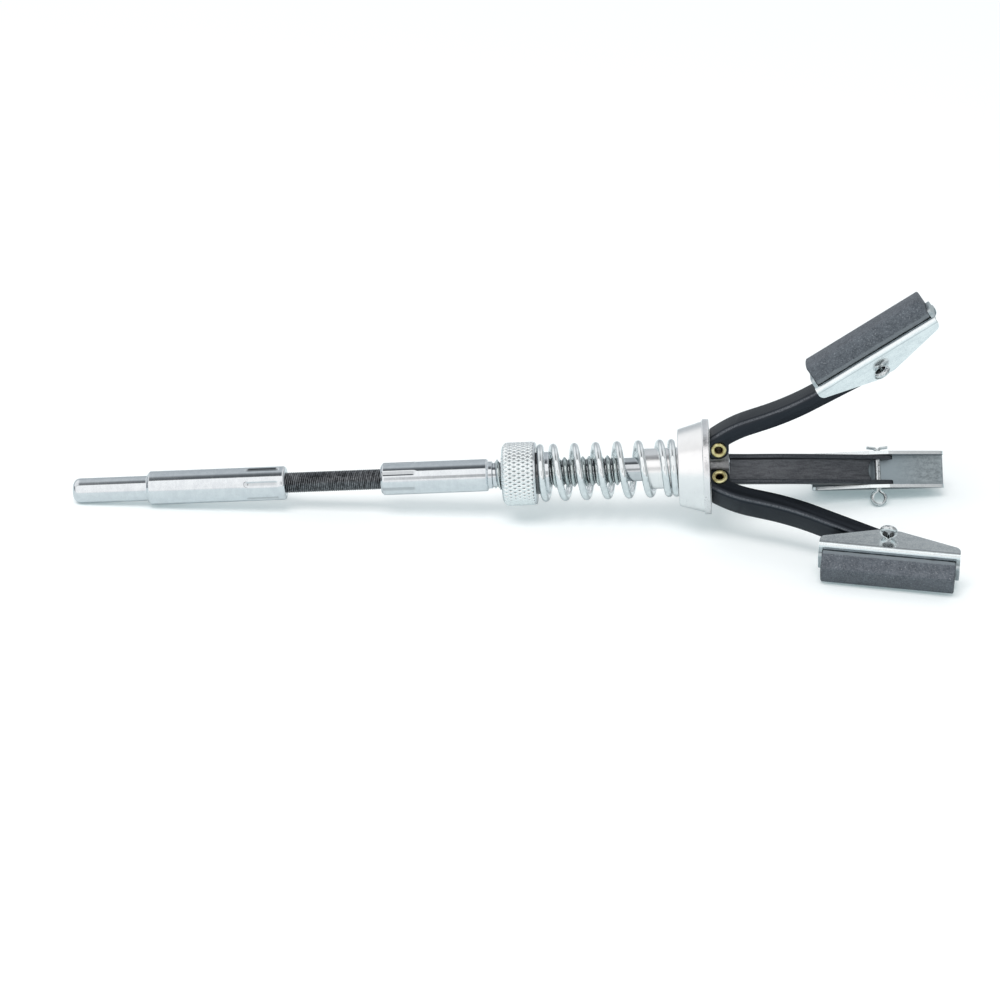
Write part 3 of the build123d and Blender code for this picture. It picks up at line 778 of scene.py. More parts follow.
def grooves(start, length, turn):
    """How deep the six grooves of a crimping tool are at a place of a sleeve, from 0 to 1."""
    fade, half_width, edge = 0.35, radians(9), radians(4)

    def share(along, angle):
        inside = min((along - start) / fade, (start + length - along) / fade, 1.0)
        off = abs((angle - radians(turn) + pi / 6) % (pi / 3) - pi / 6)
        return max(inside, 0.0) * min(max((half_width - off) / edge, 0.0), 1.0)

    return share


def evaluated_mesh(carrier, name):
    """The plain mesh of an object's modifiers; the object itself is removed."""
    depsgraph = bpy.context.evaluated_depsgraph_get()
    mesh = bpy.data.meshes.new_from_object(carrier.evaluated_get(depsgraph), depsgraph=depsgraph)
    mesh.name = name
    carrier.modifiers.clear()
    old = carrier.data
    bpy.data.objects.remove(carrier)
    bpy.data.meshes.remove(old)
    return mesh


def grown(name, tree, values, sharp_angle=SHARP_ANGLE):
    """A piece made by a Geometry Nodes tree, with the tree's named inputs set."""
    carrier = link(f"{name}_carrier", bpy.data.meshes.new(f"{name}_carrier"))
    modifier = carrier.modifiers.new("grow", "NODES")
    modifier.node_group = tree
    for item in tree.interface.items_tree:
        if item.item_type == "SOCKET" and item.in_out == "INPUT" and item.name in values:
            modifier[item.identifier] = values[item.name]
    mesh = evaluated_mesh(carrier, name)
    smooth(mesh, sharp_angle)
    set_places(mesh)
    return link(name, mesh)


def dressed(node, name, place_of=None, ease=0.0):
    """A merged copy of a CAD node's mesh, with its sharp edges eased by so many millimetres."""
    mesh = frame["nodes"][node].data.copy()
    mesh.name = name
    mesh.materials.clear()
    work = bmesh.new()
    work.from_mesh(mesh)
    bmesh.ops.remove_doubles(work, verts=work.verts, dist=2e-7)
    bmesh.ops.dissolve_limit(
        work, angle_limit=radians(1.0), verts=work.verts, edges=work.edges, delimit={"NORMAL"}
    )
    work.to_mesh(mesh)
    work.free()
    for layer in list(mesh.attributes):
        if layer.name in ("custom_normal", "sharp_edge", "sharp_face"):
            mesh.attributes.remove(layer)
    piece = link(name, mesh)
    if ease:
        bevel = piece.modifiers.new("ease", "BEVEL")
        bevel.width = ease * MM
        bevel.segments = 2
        bevel.limit_method = "ANGLE"
        bevel.angle_limit = radians(50)
        bevel.use_clamp_overlap = False
        bevel.harden_normals = False
        piece = link(name, evaluated_mesh(piece, name))
    smooth(piece.data)
    set_places(piece.data, place_of)
    return piece


def mark_faces(piece, name, share):
    """Keeps a number on each face, by a rule of its normal and of its points' places."""
    mesh = piece.data
    places = mesh.attributes[PLACE].data
    marks = [
        share(face.normal, [places[index].vector for index in face.vertices])
        for face in mesh.polygons
    ]
    mesh.attributes.new(name, "FLOAT", "FACE").data.foreach_set("value", marks)


def mark_inside(piece, axes, half_inside, tab_height=inf):
    """Marks the faces inside a channel, and those of a holder's tabs: on a holder for painted shade
    inside the channel and a darker tone on the tabs, on an arm for its duller grey inside.
    """

    def share(normal, places):
        total = sum((Vector(place) for place in places), Vector())
        side = total.y / len(places)
        turned_in = normal.dot(axes[1]) * side < -0.3 * abs(side)
        under = normal.dot(axes[2]) < -0.3
        inside = float(abs(side) < half_inside + 0.05 and (turned_in or under))
        return max(inside, 0.7 * (total.z / len(places) > tab_height))

    mark_faces(piece, SHADE_AND_DULL, share)


def mark_edges(piece, axes, half_inside, cut_edge):
    """Marks a channel's outer folds, and the cut edges of its sides by a share, for a painted highlight."""

    def share(normal, places):
        across, out = abs(normal.dot(axes[1])), normal.dot(axes[2])
        if out < -0.9 and abs(places[0].y) > half_inside + 0.03:
            return cut_edge
        return min(max((2 * across * out - 0.8) / 0.2, 0.0), 1.0)

    mark_faces(piece, EDGE_HIGHLIGHT, share)


def mark_eye(piece, axes, middle):
    """Marks the inner side of a cotter pin's eye, where shade is painted."""

    def share(normal, places):
        along, across = places[0].x, places[0].y - middle
        inward = normal.dot(axes[0]) * along + normal.dot(axes[1]) * across
        reach = hypot(along, across)
        return 0.9 * float(reach < EYE_WIDTH / 2 + 0.05 and inward < -0.7 * reach)

    mark_faces(piece, SHADE_AND_DULL, share)


def mark_points(piece, share):
    """Marks the points of a turned piece by a rule of along, radius and angle, for its painted shade."""
    marks = []
    for item in piece.data.attributes[PLACE].data:
        x, y, z = item.vector
        marks.append(share(x, hypot(y, z), atan2(z, y)))
    piece.data.attributes.new(SHADE_AND_DULL, "FLOAT", "POINT").data.foreach_set("value", marks)


def turn_outward(piece):
    """Turns the faces of a closed piece outward."""
    work = bmesh.new()
    work.from_mesh(piece.data)
    bmesh.ops.recalc_face_normals(work, faces=work.faces)
    work.to_mesh(piece.data)
    work.free()


def paint(piece, maker):
    """Gives a piece its one material."""
    piece.data.materials.clear()
    piece.data.materials.append(finish_once(maker))
    return piece


def carry(piece, body, node):
    """Lets a piece ride on a body in place of its CAD node."""
    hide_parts(node)
    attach(piece, body)


def bend_between(piece, bodies, start, end, slot, node):
    """Lets a piece bend between two bodies, over a stretch of the axis in millimetres."""
    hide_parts(node)
    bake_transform(piece, *bodies, start=(start * MM, 0, 0), end=(end * MM, 0, 0))


# Planes of the arms and shoes, and what is made in them


def side_axes(angle, tilt=0.0):
    """Directions along, across and out of an arm or shoe that is tilted by so many degrees."""
    outward = Vector((0, cos(radians(angle)), sin(radians(angle))))
    across = Vector((0, -sin(radians(angle)), cos(radians(angle))))
    ahead = Vector((1, 0, 0)) * cos(radians(tilt)) + outward * sin(radians(tilt))
    return ahead, across, across.cross(ahead)


def shoe_tilt(name):
    """How far a shoe is tilted at rest, in degrees."""
    return LOWER_TILT if name != "top" else TOP_TILT


def local_places(origin, axes):
    """Turns tool coordinates into places along, across and out from an origin."""
    base = np.array(origin)
    matrix = np.array([list(axis) for axis in axes])
    return lambda points: (points - base) @ matrix.T


def at_side(origin, axes, along, across, out):
    """A point given by its place on a piece, in millimetres."""
    return Vector(origin) + axes[0] * along + axes[1] * across + axes[2] * out


def pivot_point(angle):
    """Middle of an arm's rivet."""
    outward = side_axes(angle)[2]
    return Vector((PIVOT_X, 0, 0)) + outward * PIVOT_RADIUS


def pin_point(angle):
    """Middle of a shoe's cotter pin."""
    outward = side_axes(angle)[2]
    return Vector((PIN_X, 0, 0)) + outward * PIN_RADIUS


def turned_at(name, profile, origin, axes):
    """Turns a profile of (along, radius) about the across direction of an arm or shoe."""
    segments = 64
    points = []
    for along, radius in profile:
        for step in range(segments):
            angle = 2 * pi * step / segments
            place = at_side(origin, axes, radius * cos(angle), along, radius * sin(angle))
            points.append(tuple(place))
    faces = ring_faces(len(profile), segments, True)
    return solid(name, points, faces, place_of=local_places(origin, axes))


def half_round(path, radius, outer, origin, axes):
    """Points and faces of half-round wire along a flat path, with its flat on the inner side."""
    steps = 12
    section = []
    for step in range(steps + 1):
        angle = pi * step / steps - pi / 2
        section.append((radius * (cos(angle) - 0.5), radius * sin(angle)))
    points = []
    for index, place in enumerate(path):
        before = Vector(path[max(index - 1, 0)])
        after = Vector(path[min(index + 1, len(path) - 1)])
        ahead = (after - before).normalized()
        for out, rise in section:
            along = place[0] - ahead.y * out * outer
            across = place[1] + ahead.x * out * outer
            points.append(tuple(at_side(origin, axes, along, across, rise)))
    sides = len(section)
    ends = [tuple(range(sides)), tuple(range((len(path) - 1) * sides, len(path) * sides))]
    return points, ring_faces(len(path), sides, False) + ends


def half_bar(leg, radius, reach, origin, axes):
    """Points and faces of half a round bar across a shoe, on one side of the pin's gap."""
    steps = 16
    inner = PIN_GAP / 2
    rim = []
    for step in range(steps + 1):
        angle = pi * step / steps
        rim.append((leg * (inner + (radius - inner) * sin(angle)), radius * cos(angle)))
    points = [
        tuple(at_side(origin, axes, along, across, out))
        for across in (-reach, reach)
        for along, out in rim
    ]
    sides = len(rim)
    ends = [tuple(range(sides)), tuple(range(sides, 2 * sides))]
    return points, ends + ring_faces(2, sides, False)


def eye_path(wire):
    """How the wire of a cotter pin runs round its eye, as flat (along, across) places."""
    half = (wire + PIN_GAP) / 2
    radius = (EYE_WIDTH - wire) / 2
    rise = EYE_MIDDLE - PIN_NECK
    bend = (rise**2 - radius**2 + half**2) / (2 * (radius - half))
    turn = atan2(rise, half + bend)
    right = [(half, PIN_NECK - PIN_OVERLAP)]
    for step in range(9):
        angle = turn * step / 8
        right.append((half + bend - bend * cos(angle), PIN_NECK + bend * sin(angle)))
    loop = []
    for step in range(1, 40):
        angle = -turn + (pi + 2 * turn) * step / 40
        loop.append((radius * cos(angle), EYE_MIDDLE + radius * sin(angle)))
    return right + loop + [(-along, across) for along, across in reversed(right)]


def leg_path(leg, wire):
    """How one leg of a cotter pin comes out of its holder and is bent aside."""
    half = leg * (wire + PIN_GAP) / 2
    outside = HOLDER_WIDTH / 2
    corners = [
        (half, PIN_OVERLAP - PIN_NECK, 0),
        (half, -outside - 0.65, 0.45),
        (leg * 2.2, -outside - 0.85, 0),
    ]
    return rounded_profile(corners, 8)


def joined(shells):
    """One list of points and one of faces for several shells."""
    points, faces = [], []
    for shell_points, shell_faces in shells:
        base = len(points)
        points += shell_points
        faces += [tuple(base + index for index in face) for face in shell_faces]
    return points, faces


# Geometry Nodes trees


def new_tree(name, inputs):
    """A tree with one geometry output and the named inputs, each a kind and a default."""
    tree = bpy.data.node_groups.new(name, "GeometryNodeTree")
    tree.interface.new_socket("Geometry", in_out="OUTPUT", socket_type="NodeSocketGeometry")
    for label, kind, default in inputs:
        item = tree.interface.new_socket(label, in_out="INPUT", socket_type=f"NodeSocket{kind}")
        if default is not None:
            item.default_value = default
    graph = Graph(tree)
    source = tree.nodes.new("NodeGroupInput")
    sockets = {socket.name: Socket(graph, socket) for socket in source.outputs if socket.name}
    return graph, sockets


def end_tree(graph, geometry, material):
    """Realizes the instances, gives them their material and closes the tree."""
    real = graph.node("GeometryNodeRealizeInstances", inputs={"Geometry": geometry})
    inputs = {"Geometry": real, "Material": material}
    painted = graph.node("GeometryNodeSetMaterial", inputs=inputs)
    graph.tree.links.new(painted.socket, graph.tree.nodes.new("NodeGroupOutput").inputs[0])
    return graph.tree


def coil_tree():
    """Round wire wound about the tool's axis, with closed ends and any number of strands."""
    graph, given = new_tree(
        "Wound wire",
        (
            ("Turns", "Float", 7.0),
            ("First Turn", "Float", 0.0),
            ("Last Turn", "Float", 7.0),
            ("Start", "Float", 0.0),
            ("Coil Radius", "Float", 0.005),
            ("Wire Radius", "Float", 0.0007),
            ("Open Pitch", "Float", 0.004),
            ("Closed Pitch", "Float", 0.0015),
            ("Rear Closed", "Float", 0.0),
            ("Front Closed", "Float", 0.0),
            ("Ease", "Float", 0.3),
            ("Start Angle", "Float", 0.0),
            ("Hand", "Float", 1.0),
            ("Points per Turn", "Int", 48),
            ("Sides", "Int", 16),
            ("Strands", "Int", 1),
            ("Ground At", "Float", 1.0),
            ("Material", "Material", None),
        ),
    )

    def eased(turns):
        """Turns past a change of pitch, with the change spread over the ease."""
        ease = given["Ease"]
        near = graph.math("MINIMUM", graph.math("MAXIMUM", turns + ease, 0.0), ease * 2.0)
        return near * near / (ease * 4.0) + graph.math("MAXIMUM", turns - ease, 0.0)

    span = given["Last Turn"] - given["First Turn"]
    line = graph.node("GeometryNodeCurvePrimitiveLine")
    copies = graph.node(
        "GeometryNodeDuplicateElements",
        {"domain": "SPLINE"},
        {"Geometry": line, "Amount": given["Strands"]},
    )
    strand = Socket(graph, copies.socket.node.outputs["Duplicate Index"])
    dense = graph.node(
        "GeometryNodeResampleCurve",
        inputs={"Curve": copies, "Count": span * given["Points per Turn"] + 1.0},
    )
    turns = given["First Turn"] + span * graph.node("GeometryNodeSplineParameter")
    opened = eased(turns - given["Rear Closed"]) - eased(
        turns - given["Turns"] + given["Front Closed"]
    )
    along = given["Start"] + given["Closed Pitch"] * turns
    along = along + (given["Open Pitch"] - given["Closed Pitch"]) * opened
    angle = given["Start Angle"] + given["Hand"] * turns * (2 * pi)
    angle = angle + strand * (2 * pi) / given["Strands"]
    radius = given["Coil Radius"]
    place = graph.combine(
        along, radius * graph.math("COSINE", angle), radius * graph.math("SINE", angle)
    )
    path = graph.node("GeometryNodeSetPosition", inputs={"Geometry": dense, "Position": place})
    section = graph.node(
        "GeometryNodeCurvePrimitiveCircle",
        inputs={"Resolution": given["Sides"], "Radius": given["Wire Radius"]},
    )
    wire = graph.node(
        "GeometryNodeCurveToMesh",
        inputs={"Curve": path, "Profile Curve": section, "Fill Caps": True},
    )
    x, y, z = graph.split(graph.node("GeometryNodeInputPosition"))
    flat = graph.combine(graph.math("MINIMUM", x, given["Ground At"]), y, z)
    ground = graph.node("GeometryNodeSetPosition", inputs={"Geometry": wire, "Position": flat})
    return end_tree(graph, ground, given["Material"])


def thread_tree():
    """The ridge of a right-hand screw thread, wound about the tool's axis."""
    graph, given = new_tree(
        "Screw thread",
        (
            ("Start", "Float", 0.0),
            ("Length", "Float", 0.02),
            ("Pitch", "Float", 0.00127),
            ("Root Radius", "Float", 0.0025),
            ("Height", "Float", 0.0007),
            ("Foot Width", "Float", 0.0012),
            ("Crest Width", "Float", 0.0002),
            ("Points per Turn", "Int", 48),
            ("Material", "Material", None),
        ),
    )
    turns = given["Length"] / given["Pitch"]
    line = graph.node("GeometryNodeCurvePrimitiveLine")
    dense = graph.node(
        "GeometryNodeResampleCurve",
        inputs={"Curve": line, "Count": turns * given["Points per Turn"] + 1.0},
    )
    part = graph.node("GeometryNodeSplineParameter")
    angle = part * turns * (2 * pi)
    radius = given["Root Radius"]
    place = graph.combine(
        radius * graph.math("COSINE", angle),
        radius * graph.math("SINE", angle),
        part * given["Length"],
    )
    path = graph.node("GeometryNodeSetPosition", inputs={"Geometry": dense, "Position": place})
    upright = graph.node("GeometryNodeSetCurveNormal", {"mode": "Z_UP"}, {"Curve": path})
    section = graph.node(
        "GeometryNodeCurvePrimitiveQuadrilateral",
        {"mode": "TRAPEZOID"},
        {
            "Height": given["Height"],
            "Bottom Width": given["Foot Width"],
            "Top Width": given["Crest Width"],
            "Offset": 0.0,
        },
    )
    turned_section = graph.node(
        "GeometryNodeTransform",
        inputs={
            "Geometry": section,
            "Translation": graph.combine(given["Height"] * 0.5, 0.0, 0.0),
            "Rotation": (0.0, 0.0, -pi / 2),
        },
    )
    ridge = graph.node(
        "GeometryNodeCurveToMesh",
        inputs={"Curve": upright, "Profile Curve": turned_section, "Fill Caps": True},
    )
    laid = graph.node(
        "GeometryNodeTransform",
        inputs={
            "Geometry": ridge,
            "Translation": graph.combine(given["Start"], 0.0, 0.0),
            "Rotation": (0.0, pi / 2, 0.0),
        },
    )
    return end_tree(graph, laid, given["Material"])


def knurl_tree():
    """A ring whose outside carries two sets of slanted ridges, with a pit in each mesh of them."""
    graph, given = new_tree(
        "Diamond knurl",
        (
            ("Around", "Int", 43),
            ("Steps per Mesh", "Int", 8),
            ("Rows", "Int", 48),
            ("Start", "Float", 0.0),
            ("Length", "Float", 0.005),
            ("Mesh Length", "Float", 0.0017),
            ("Inner Radius", "Float", 0.0055),
            ("Crest Radius", "Float", 0.0065),
            ("Depth", "Float", 0.0003),
            ("Rear Round", "Float", 0.0010),
            ("Front Round", "Float", 0.0003),
            ("Material", "Material", None),
        ),
    )
    columns = given["Around"] * given["Steps per Mesh"]
    rows = given["Rows"]
    grid = graph.node(
        "GeometryNodeMeshGrid",
        inputs={
            "Size X": 1.0,
            "Size Y": 1.0,
            "Vertices X": columns + 1.0,
            "Vertices Y": rows + 4.0,
        },
    )
    index = graph.node("GeometryNodeInputIndex")
    column = graph.math("FLOOR", (index + 0.5) / (rows + 4.0))
    row = index - column * (rows + 4.0)
    part = graph.math("DIVIDE", row - 1.0, rows, clamp=True)
    inside = graph.math("COMPARE", row, 0.0, 0.5) + graph.math("GREATER_THAN", row, rows + 1.5)
    back = graph.math("GREATER_THAN", row, rows + 2.5)
    along = part * given["Length"] * (1.0 - back)
    turn = column / given["Steps per Mesh"]
    lean = along / given["Mesh Length"]
    ridges = [
        graph.math("PINGPONG", slant + 200.0, 0.5) * -2.0 + 1.0
        for slant in (turn + lean, turn - lean)
    ]
    crest = graph.math("MAXIMUM", *ridges)
    height = graph.band(crest, 0.2, 0.7) * 0.8 + crest * 0.2
    radius = given["Crest Radius"] - given["Depth"] * (1.0 - height)
    rounds = ((along, given["Rear Round"]), (given["Length"] - along, given["Front Round"]))
    for reach, bend in rounds:
        short = 1.0 - graph.math("DIVIDE", reach, bend, clamp=True)
        radius = radius - short * short * bend
    radius = radius + (given["Inner Radius"] - radius) * inside
    angle = turn * (2 * pi) / given["Around"]
    place = graph.combine(
        given["Start"] + along,
        radius * graph.math("COSINE", angle),
        radius * graph.math("SINE", angle),
    )
    ring = graph.node("GeometryNodeSetPosition", inputs={"Geometry": grid, "Position": place})
    merged = graph.node(
        "GeometryNodeMergeByDistance", inputs={"Geometry": ring, "Distance": 1e-6}
    )
    return end_tree(graph, merged, given["Material"])


# Settings that a user would change


def colour_property(name, description, default):
    """A colour setting."""
    return FloatVectorProperty(
        name=name,
        description=description,
        subtype="COLOR",
        size=3,
        min=0.0,
        max=1.0,
        default=default,
    )


def length_property(name, description, default):
    """A length setting, given in millimetres and kept in metres."""
    return FloatProperty(
        name=name,
        description=description,
        unit="LENGTH",
        subtype="DISTANCE",
        min=0.0,
        precision=5,
        default=default * MM,
    )


class HoneMetalSettings(bpy.types.PropertyGroup):
    """Sizes and colours of the turned pieces."""

    zinc_colour: colour_property("Zinc", "Bright zinc plate", (0.82, 0.85, 0.87))
    zinc_shade: colour_property("Zinc shade", "Zinc plate where it is stained", (0.7, 0.73, 0.76))
    cone_colour: colour_property("Cone", "Turned metal of the pressure cone", (0.975, 0.97, 0.97))
    thread_pitch: length_property("Thread pitch", "From one thread to the next", 1.27)
    thread_height: length_property("Thread height", "From root to crest", 0.69)
    knurl_around: IntProperty(
        name="Knurl ridges", description="Ridges of each slant round the nut", min=8, default=43
    )
    knurl_depth: length_property("Knurl depth", "From pit to crest of the knurl", 0.3)
    knurl_pitch: length_property("Knurl pitch", "From one pit to the next along the nut", 1.86)


class HoneSpringSettings(bpy.types.PropertyGroup):
    """Sizes of the compression spring."""

    turns: FloatProperty(name="Turns", description="Turns from end to end", min=1.0, default=7.6)
    wire: length_property("Wire", "Diameter of the wire", 1.5)
    start_angle: FloatProperty(
        name="Start angle",
        description="Where the rear end of the wire lies",
        subtype="ANGLE",
        default=radians(65.0),
    )


class HoneFlexSettings(bpy.types.PropertyGroup):
    """Sizes of the flexible shaft's winding."""

    wire: length_property("Wire", "Diameter of the wire of the winding", 0.46)
    strands: IntProperty(name="Strands", description="Wires wound side by side", min=1, default=6)


class HoneArmSettings(bpy.types.PropertyGroup):
    """Colours of the arms and their rivets."""

    arm_colour: colour_property("Arm", "Black oxide", (0.031, 0.036, 0.044))
    rubbed_colour: colour_property("Rubbed", "Black oxide where it is rubbed", (0.05, 0.057, 0.062))
    rivet_colour: colour_property("Rivet", "Yellow zinc plate", (0.84, 0.76, 0.42))


class HoneShoeSettings(bpy.types.PropertyGroup):
    """Colours and sizes of the shoes."""

    sheet_colour: colour_property("Sheet", "Zinc-plated sheet", (0.93, 0.985, 0.995))
    sheet_shade: colour_property("Sheet shade", "Zinc sheet where it is dull", (0.73, 0.79, 0.815))
    stone_colour: colour_property("Stone", "Abrasive stone", (0.118, 0.134, 0.154))
    stone_shade: colour_property("Stone shade", "Stone between its grains", (0.05, 0.058, 0.07))
    pin_wire: length_property("Pin wire", "Radius of the half-round wire of the pins", 0.65)


class HoneStageSettings(bpy.types.PropertyGroup):
    """Floor and light."""

    floor_colour: colour_property("Floor", "Pale floor", (0.76, 0.83, 0.84))
    softbox_power: FloatProperty(
        name="Softbox",
        description="Power of the lamp overhead",
        unit="POWER",
        min=0.0,
        default=28.0,
    )


class HoneOperator:
    """What the operators share: each can be undone."""

    bl_options = {"REGISTER", "UNDO"}


class HONE_OT_drive_shank(HoneOperator, bpy.types.Operator):
    """Turn the drive shank and crimp its sleeve on the flexible shaft"""

    bl_idname = "hone.drive_shank"
    bl_label = "Drive shank"

    def execute(self, context):
        end = SLEEVE_END
        profile = rounded_profile(
            [
                (SHANK_TIP, 0, 0),
                (SHANK_TIP, SHANK_RADIUS, 1.4),
                (0, SHANK_RADIUS, 0.15),
                (0, REAR_SLEEVE_RADIUS - 0.5, 0.12),
                (0.5, REAR_SLEEVE_RADIUS, 0.25),
                (end, REAR_SLEEVE_RADIUS, 0.6),
                (end, SOCKET_RADIUS, 0.4),
                (end - SOCKET_DEPTH, SOCKET_RADIUS, 0),
                (end - SOCKET_DEPTH - DRILL_POINT, 0, 0),
            ],
            6,
        )
        press = grooves(end - 1.35 - 6.9, 6.9, 97.1)

        def radius_at(x, angle, r):
            return r - REAR_GROOVE_DEPTH * press(x, angle) if r > 3.2 else r

        # Shade painted in the crimp grooves, deepest on their top and bottom
        def oil(x, r, angle):
            return press(x, angle) * (0.08 + 0.56 * sin(angle) ** 2) if r > 3.1 else 0.0

        shank = turned("drive_shank_turned", divided(profile, 0.25), 144, radius_at=radius_at)
        mark_points(shank, oil)
        carry(paint(shank, bright_zinc), "drive_end", "drive_shank")
        return {"FINISHED"}


class HONE_OT_flexible_shaft(HoneOperator, bpy.types.Operator):
    """Wind the flexible shaft from strands of black wire on its core"""

    bl_idname = "hone.flexible_shaft"
    bl_label = "Flexible shaft"

    def execute(self, context):
        settings = context.scene.hone_flex
        tree = coil_tree()
        middle = (SLEEVE_END + FRONT_SLEEVE) / 2
        lead = WIRE_SPACING * MM * settings.strands
        start = (FLEX_START + WIRE_INSET) * MM
        turns = ((FLEX_END - WIRE_INSET) * MM - start) / lead
        half = turns / 2
        halves = (
            ("rear", 0.0, half, ("drive_end", "flex"), SLEEVE_END, middle),
            ("front", half, turns, ("flex", "spindle"), middle, FRONT_SLEEVE),
        )
        for label, first, last, bodies, bend_start, bend_end in halves:
            winding = grown(
                f"flex_winding_{label}",
                tree,
                {
                    "Turns": turns,
                    "First Turn": first,
                    "Last Turn": last,
                    "Start": start,
                    "Coil Radius": FLEX_RADIUS * MM - settings.wire / 2,
                    "Wire Radius": settings.wire / 2,
                    "Open Pitch": lead,
                    "Closed Pitch": lead,
                    "Hand": -1.0,
                    "Points per Turn": 30,
                    "Sides": 8,
                    "Strands": settings.strands,
                    "Material": finish_once(black_wire),
                },
            )
            stretch = (bodies, bend_start, bend_end)
            bend_between(winding, *stretch, "flex_wire", "flex_shaft_winding")
            rear, front = (FLEX_START, middle) if label == "rear" else (middle, FLEX_END)
            outline = [(rear, 0), (rear, FLEX_CORE_RADIUS), (front, FLEX_CORE_RADIUS), (front, 0)]
            core = turned(f"flex_core_{label}", divided(outline, 0.8), 32)
            paint(core, black_wire)
            bend_between(core, *stretch, "flex_wire", "flex_shaft_core")
        return {"FINISHED"}


class HONE_OT_spindle(HoneOperator, bpy.types.Operator):
    """Turn the spindle: crimped sleeve, neck, screw thread, smooth shaft and peened tail"""

    bl_idname = "hone.spindle"
    bl_label = "Spindle"

    def execute(self, context):
        settings = context.scene.hone_metal
        start = FRONT_SLEEVE
        neck = start + FRONT_SLEEVE_LENGTH
        thread = neck + NECK_LENGTH
        shaft = thread + THREAD_LENGTH
        root = THREAD_RADIUS - settings.thread_height / MM
        profile = rounded_profile(
            [
                (start + SOCKET_DEPTH + DRILL_POINT, 0, 0),
                (start + SOCKET_DEPTH, SOCKET_RADIUS, 0),
                (start, SOCKET_RADIUS, 0.1),
                (start, FRONT_SLEEVE_RADIUS - 0.5, 0.15),
                (start + 0.5, FRONT_SLEEVE_RADIUS, 0.3),
                (neck - 0.3, FRONT_SLEEVE_RADIUS, 0.15),
                (neck, FRONT_SLEEVE_RADIUS - 0.2, 0.1),
                (neck, NECK_RADIUS, 0.2),
                (thread, NECK_RADIUS, 0.1),
                (thread + 0.2, root, 0),
                (shaft, root, 0),
                (shaft, SHAFT_RADIUS, 0),
                (HUB_START, SHAFT_RADIUS, 0.1),
                (HUB_START, TAIL_RADIUS, 0),
                (HUB_END, TAIL_RADIUS, 0.3),
                (SPINDLE_END, TAIL_RADIUS * 0.5, 0.3),
                (SPINDLE_END, 0, 0),
            ],
            5,
        )
        press = grooves(start - 1.0, 8.3, 16.7)

        def radius_at(x, angle, r):
            return r - FRONT_GROOVE_DEPTH * press(x, angle) if r > 3.1 else r

        # Shade painted in the crimp grooves and on the smooth shaft and tail, inside the spring and cone
        def oil(x, r, angle):
            return 0.28 * press(x, angle) if r > 3.1 else 0.18 * float(x > shaft)

        spindle = turned("spindle_turned", divided(profile, 0.3), 144, radius_at=radius_at)
        mark_points(spindle, oil)
        carry(paint(spindle, bright_zinc), "spindle", "spindle")
        ridge = grown(
            "spindle_thread",
            thread_tree(),
            {
                "Start": (thread + 0.5) * MM,
                "Length": (THREAD_LENGTH - 0.9) * MM,
                "Pitch": settings.thread_pitch,
                "Root Radius": root * MM,
                "Height": settings.thread_height,
                "Foot Width": settings.thread_pitch * 0.94,
                "Crest Width": settings.thread_pitch * 0.16,
                "Material": finish_once(thread_zinc),
            },
        )
        carry(ridge, "spindle", "spindle")
        return {"FINISHED"}


class HONE_OT_nut(HoneOperator, bpy.types.Operator):
    """Turn the adjusting nut and knurl its rim"""

    bl_idname = "hone.nut"
    bl_label = "Adjusting nut"

    def execute(self, context):
        settings = context.scene.hone_metal
        start = NUT_START
        face = start + NUT_LENGTH
        profile = rounded_profile(
            [
                (start, NUT_BORE, 0),
                (start, NUT_BODY_RADIUS - 0.1, 0.12),
                (start + 0.5, NUT_BODY_RADIUS, 0),
                (face - 0.5, NUT_BODY_RADIUS, 0),
                (face - 0.45, NUT_RADIUS - 0.1, 0.06),
                (face - 0.2, NUT_RADIUS - 0.1, 0.12),
                (face, NUT_RADIUS - 0.35, 0.1),
                (face, NUT_SPIGOT_RADIUS, 0.1),
                (NUT_END, NUT_SPIGOT_RADIUS, 0.25),
                (NUT_END, NUT_BORE, 0.1),
                (start, NUT_BORE, 0),
            ]
        )
        body = turned("nut_turned", divided(profile[:-1], 0.3), 128, closed=True)

        # Shadow painted on the front face and spigot, in the gap before the spring's first coil
        def oil(x, r, angle):
            if r > 6.1 or x < face - 0.05:
                return 0.0
            return 0.85 * min(max((face + 1.3 - x) / 0.5, 0.0), 1.0)

        mark_points(body, oil)
        carry(paint(body, bright_zinc), "nut", "adjusting_nut")
        knurl = grown(
            "nut_knurl",
            knurl_tree(),
            {
                "Around": settings.knurl_around,
                "Rows": 60,
                "Start": (start + 0.05) * MM,
                "Length": (NUT_LENGTH - 0.4) * MM,
                "Mesh Length": settings.knurl_pitch,
                "Inner Radius": 4.9 * MM,
                "Crest Radius": NUT_RADIUS * MM,
                "Depth": settings.knurl_depth,
                "Material": finish_once(knurled_zinc),
            },
            60.0,
        )
        turn_outward(knurl)
        carry(knurl, "nut", "adjusting_nut")
        return {"FINISHED"}


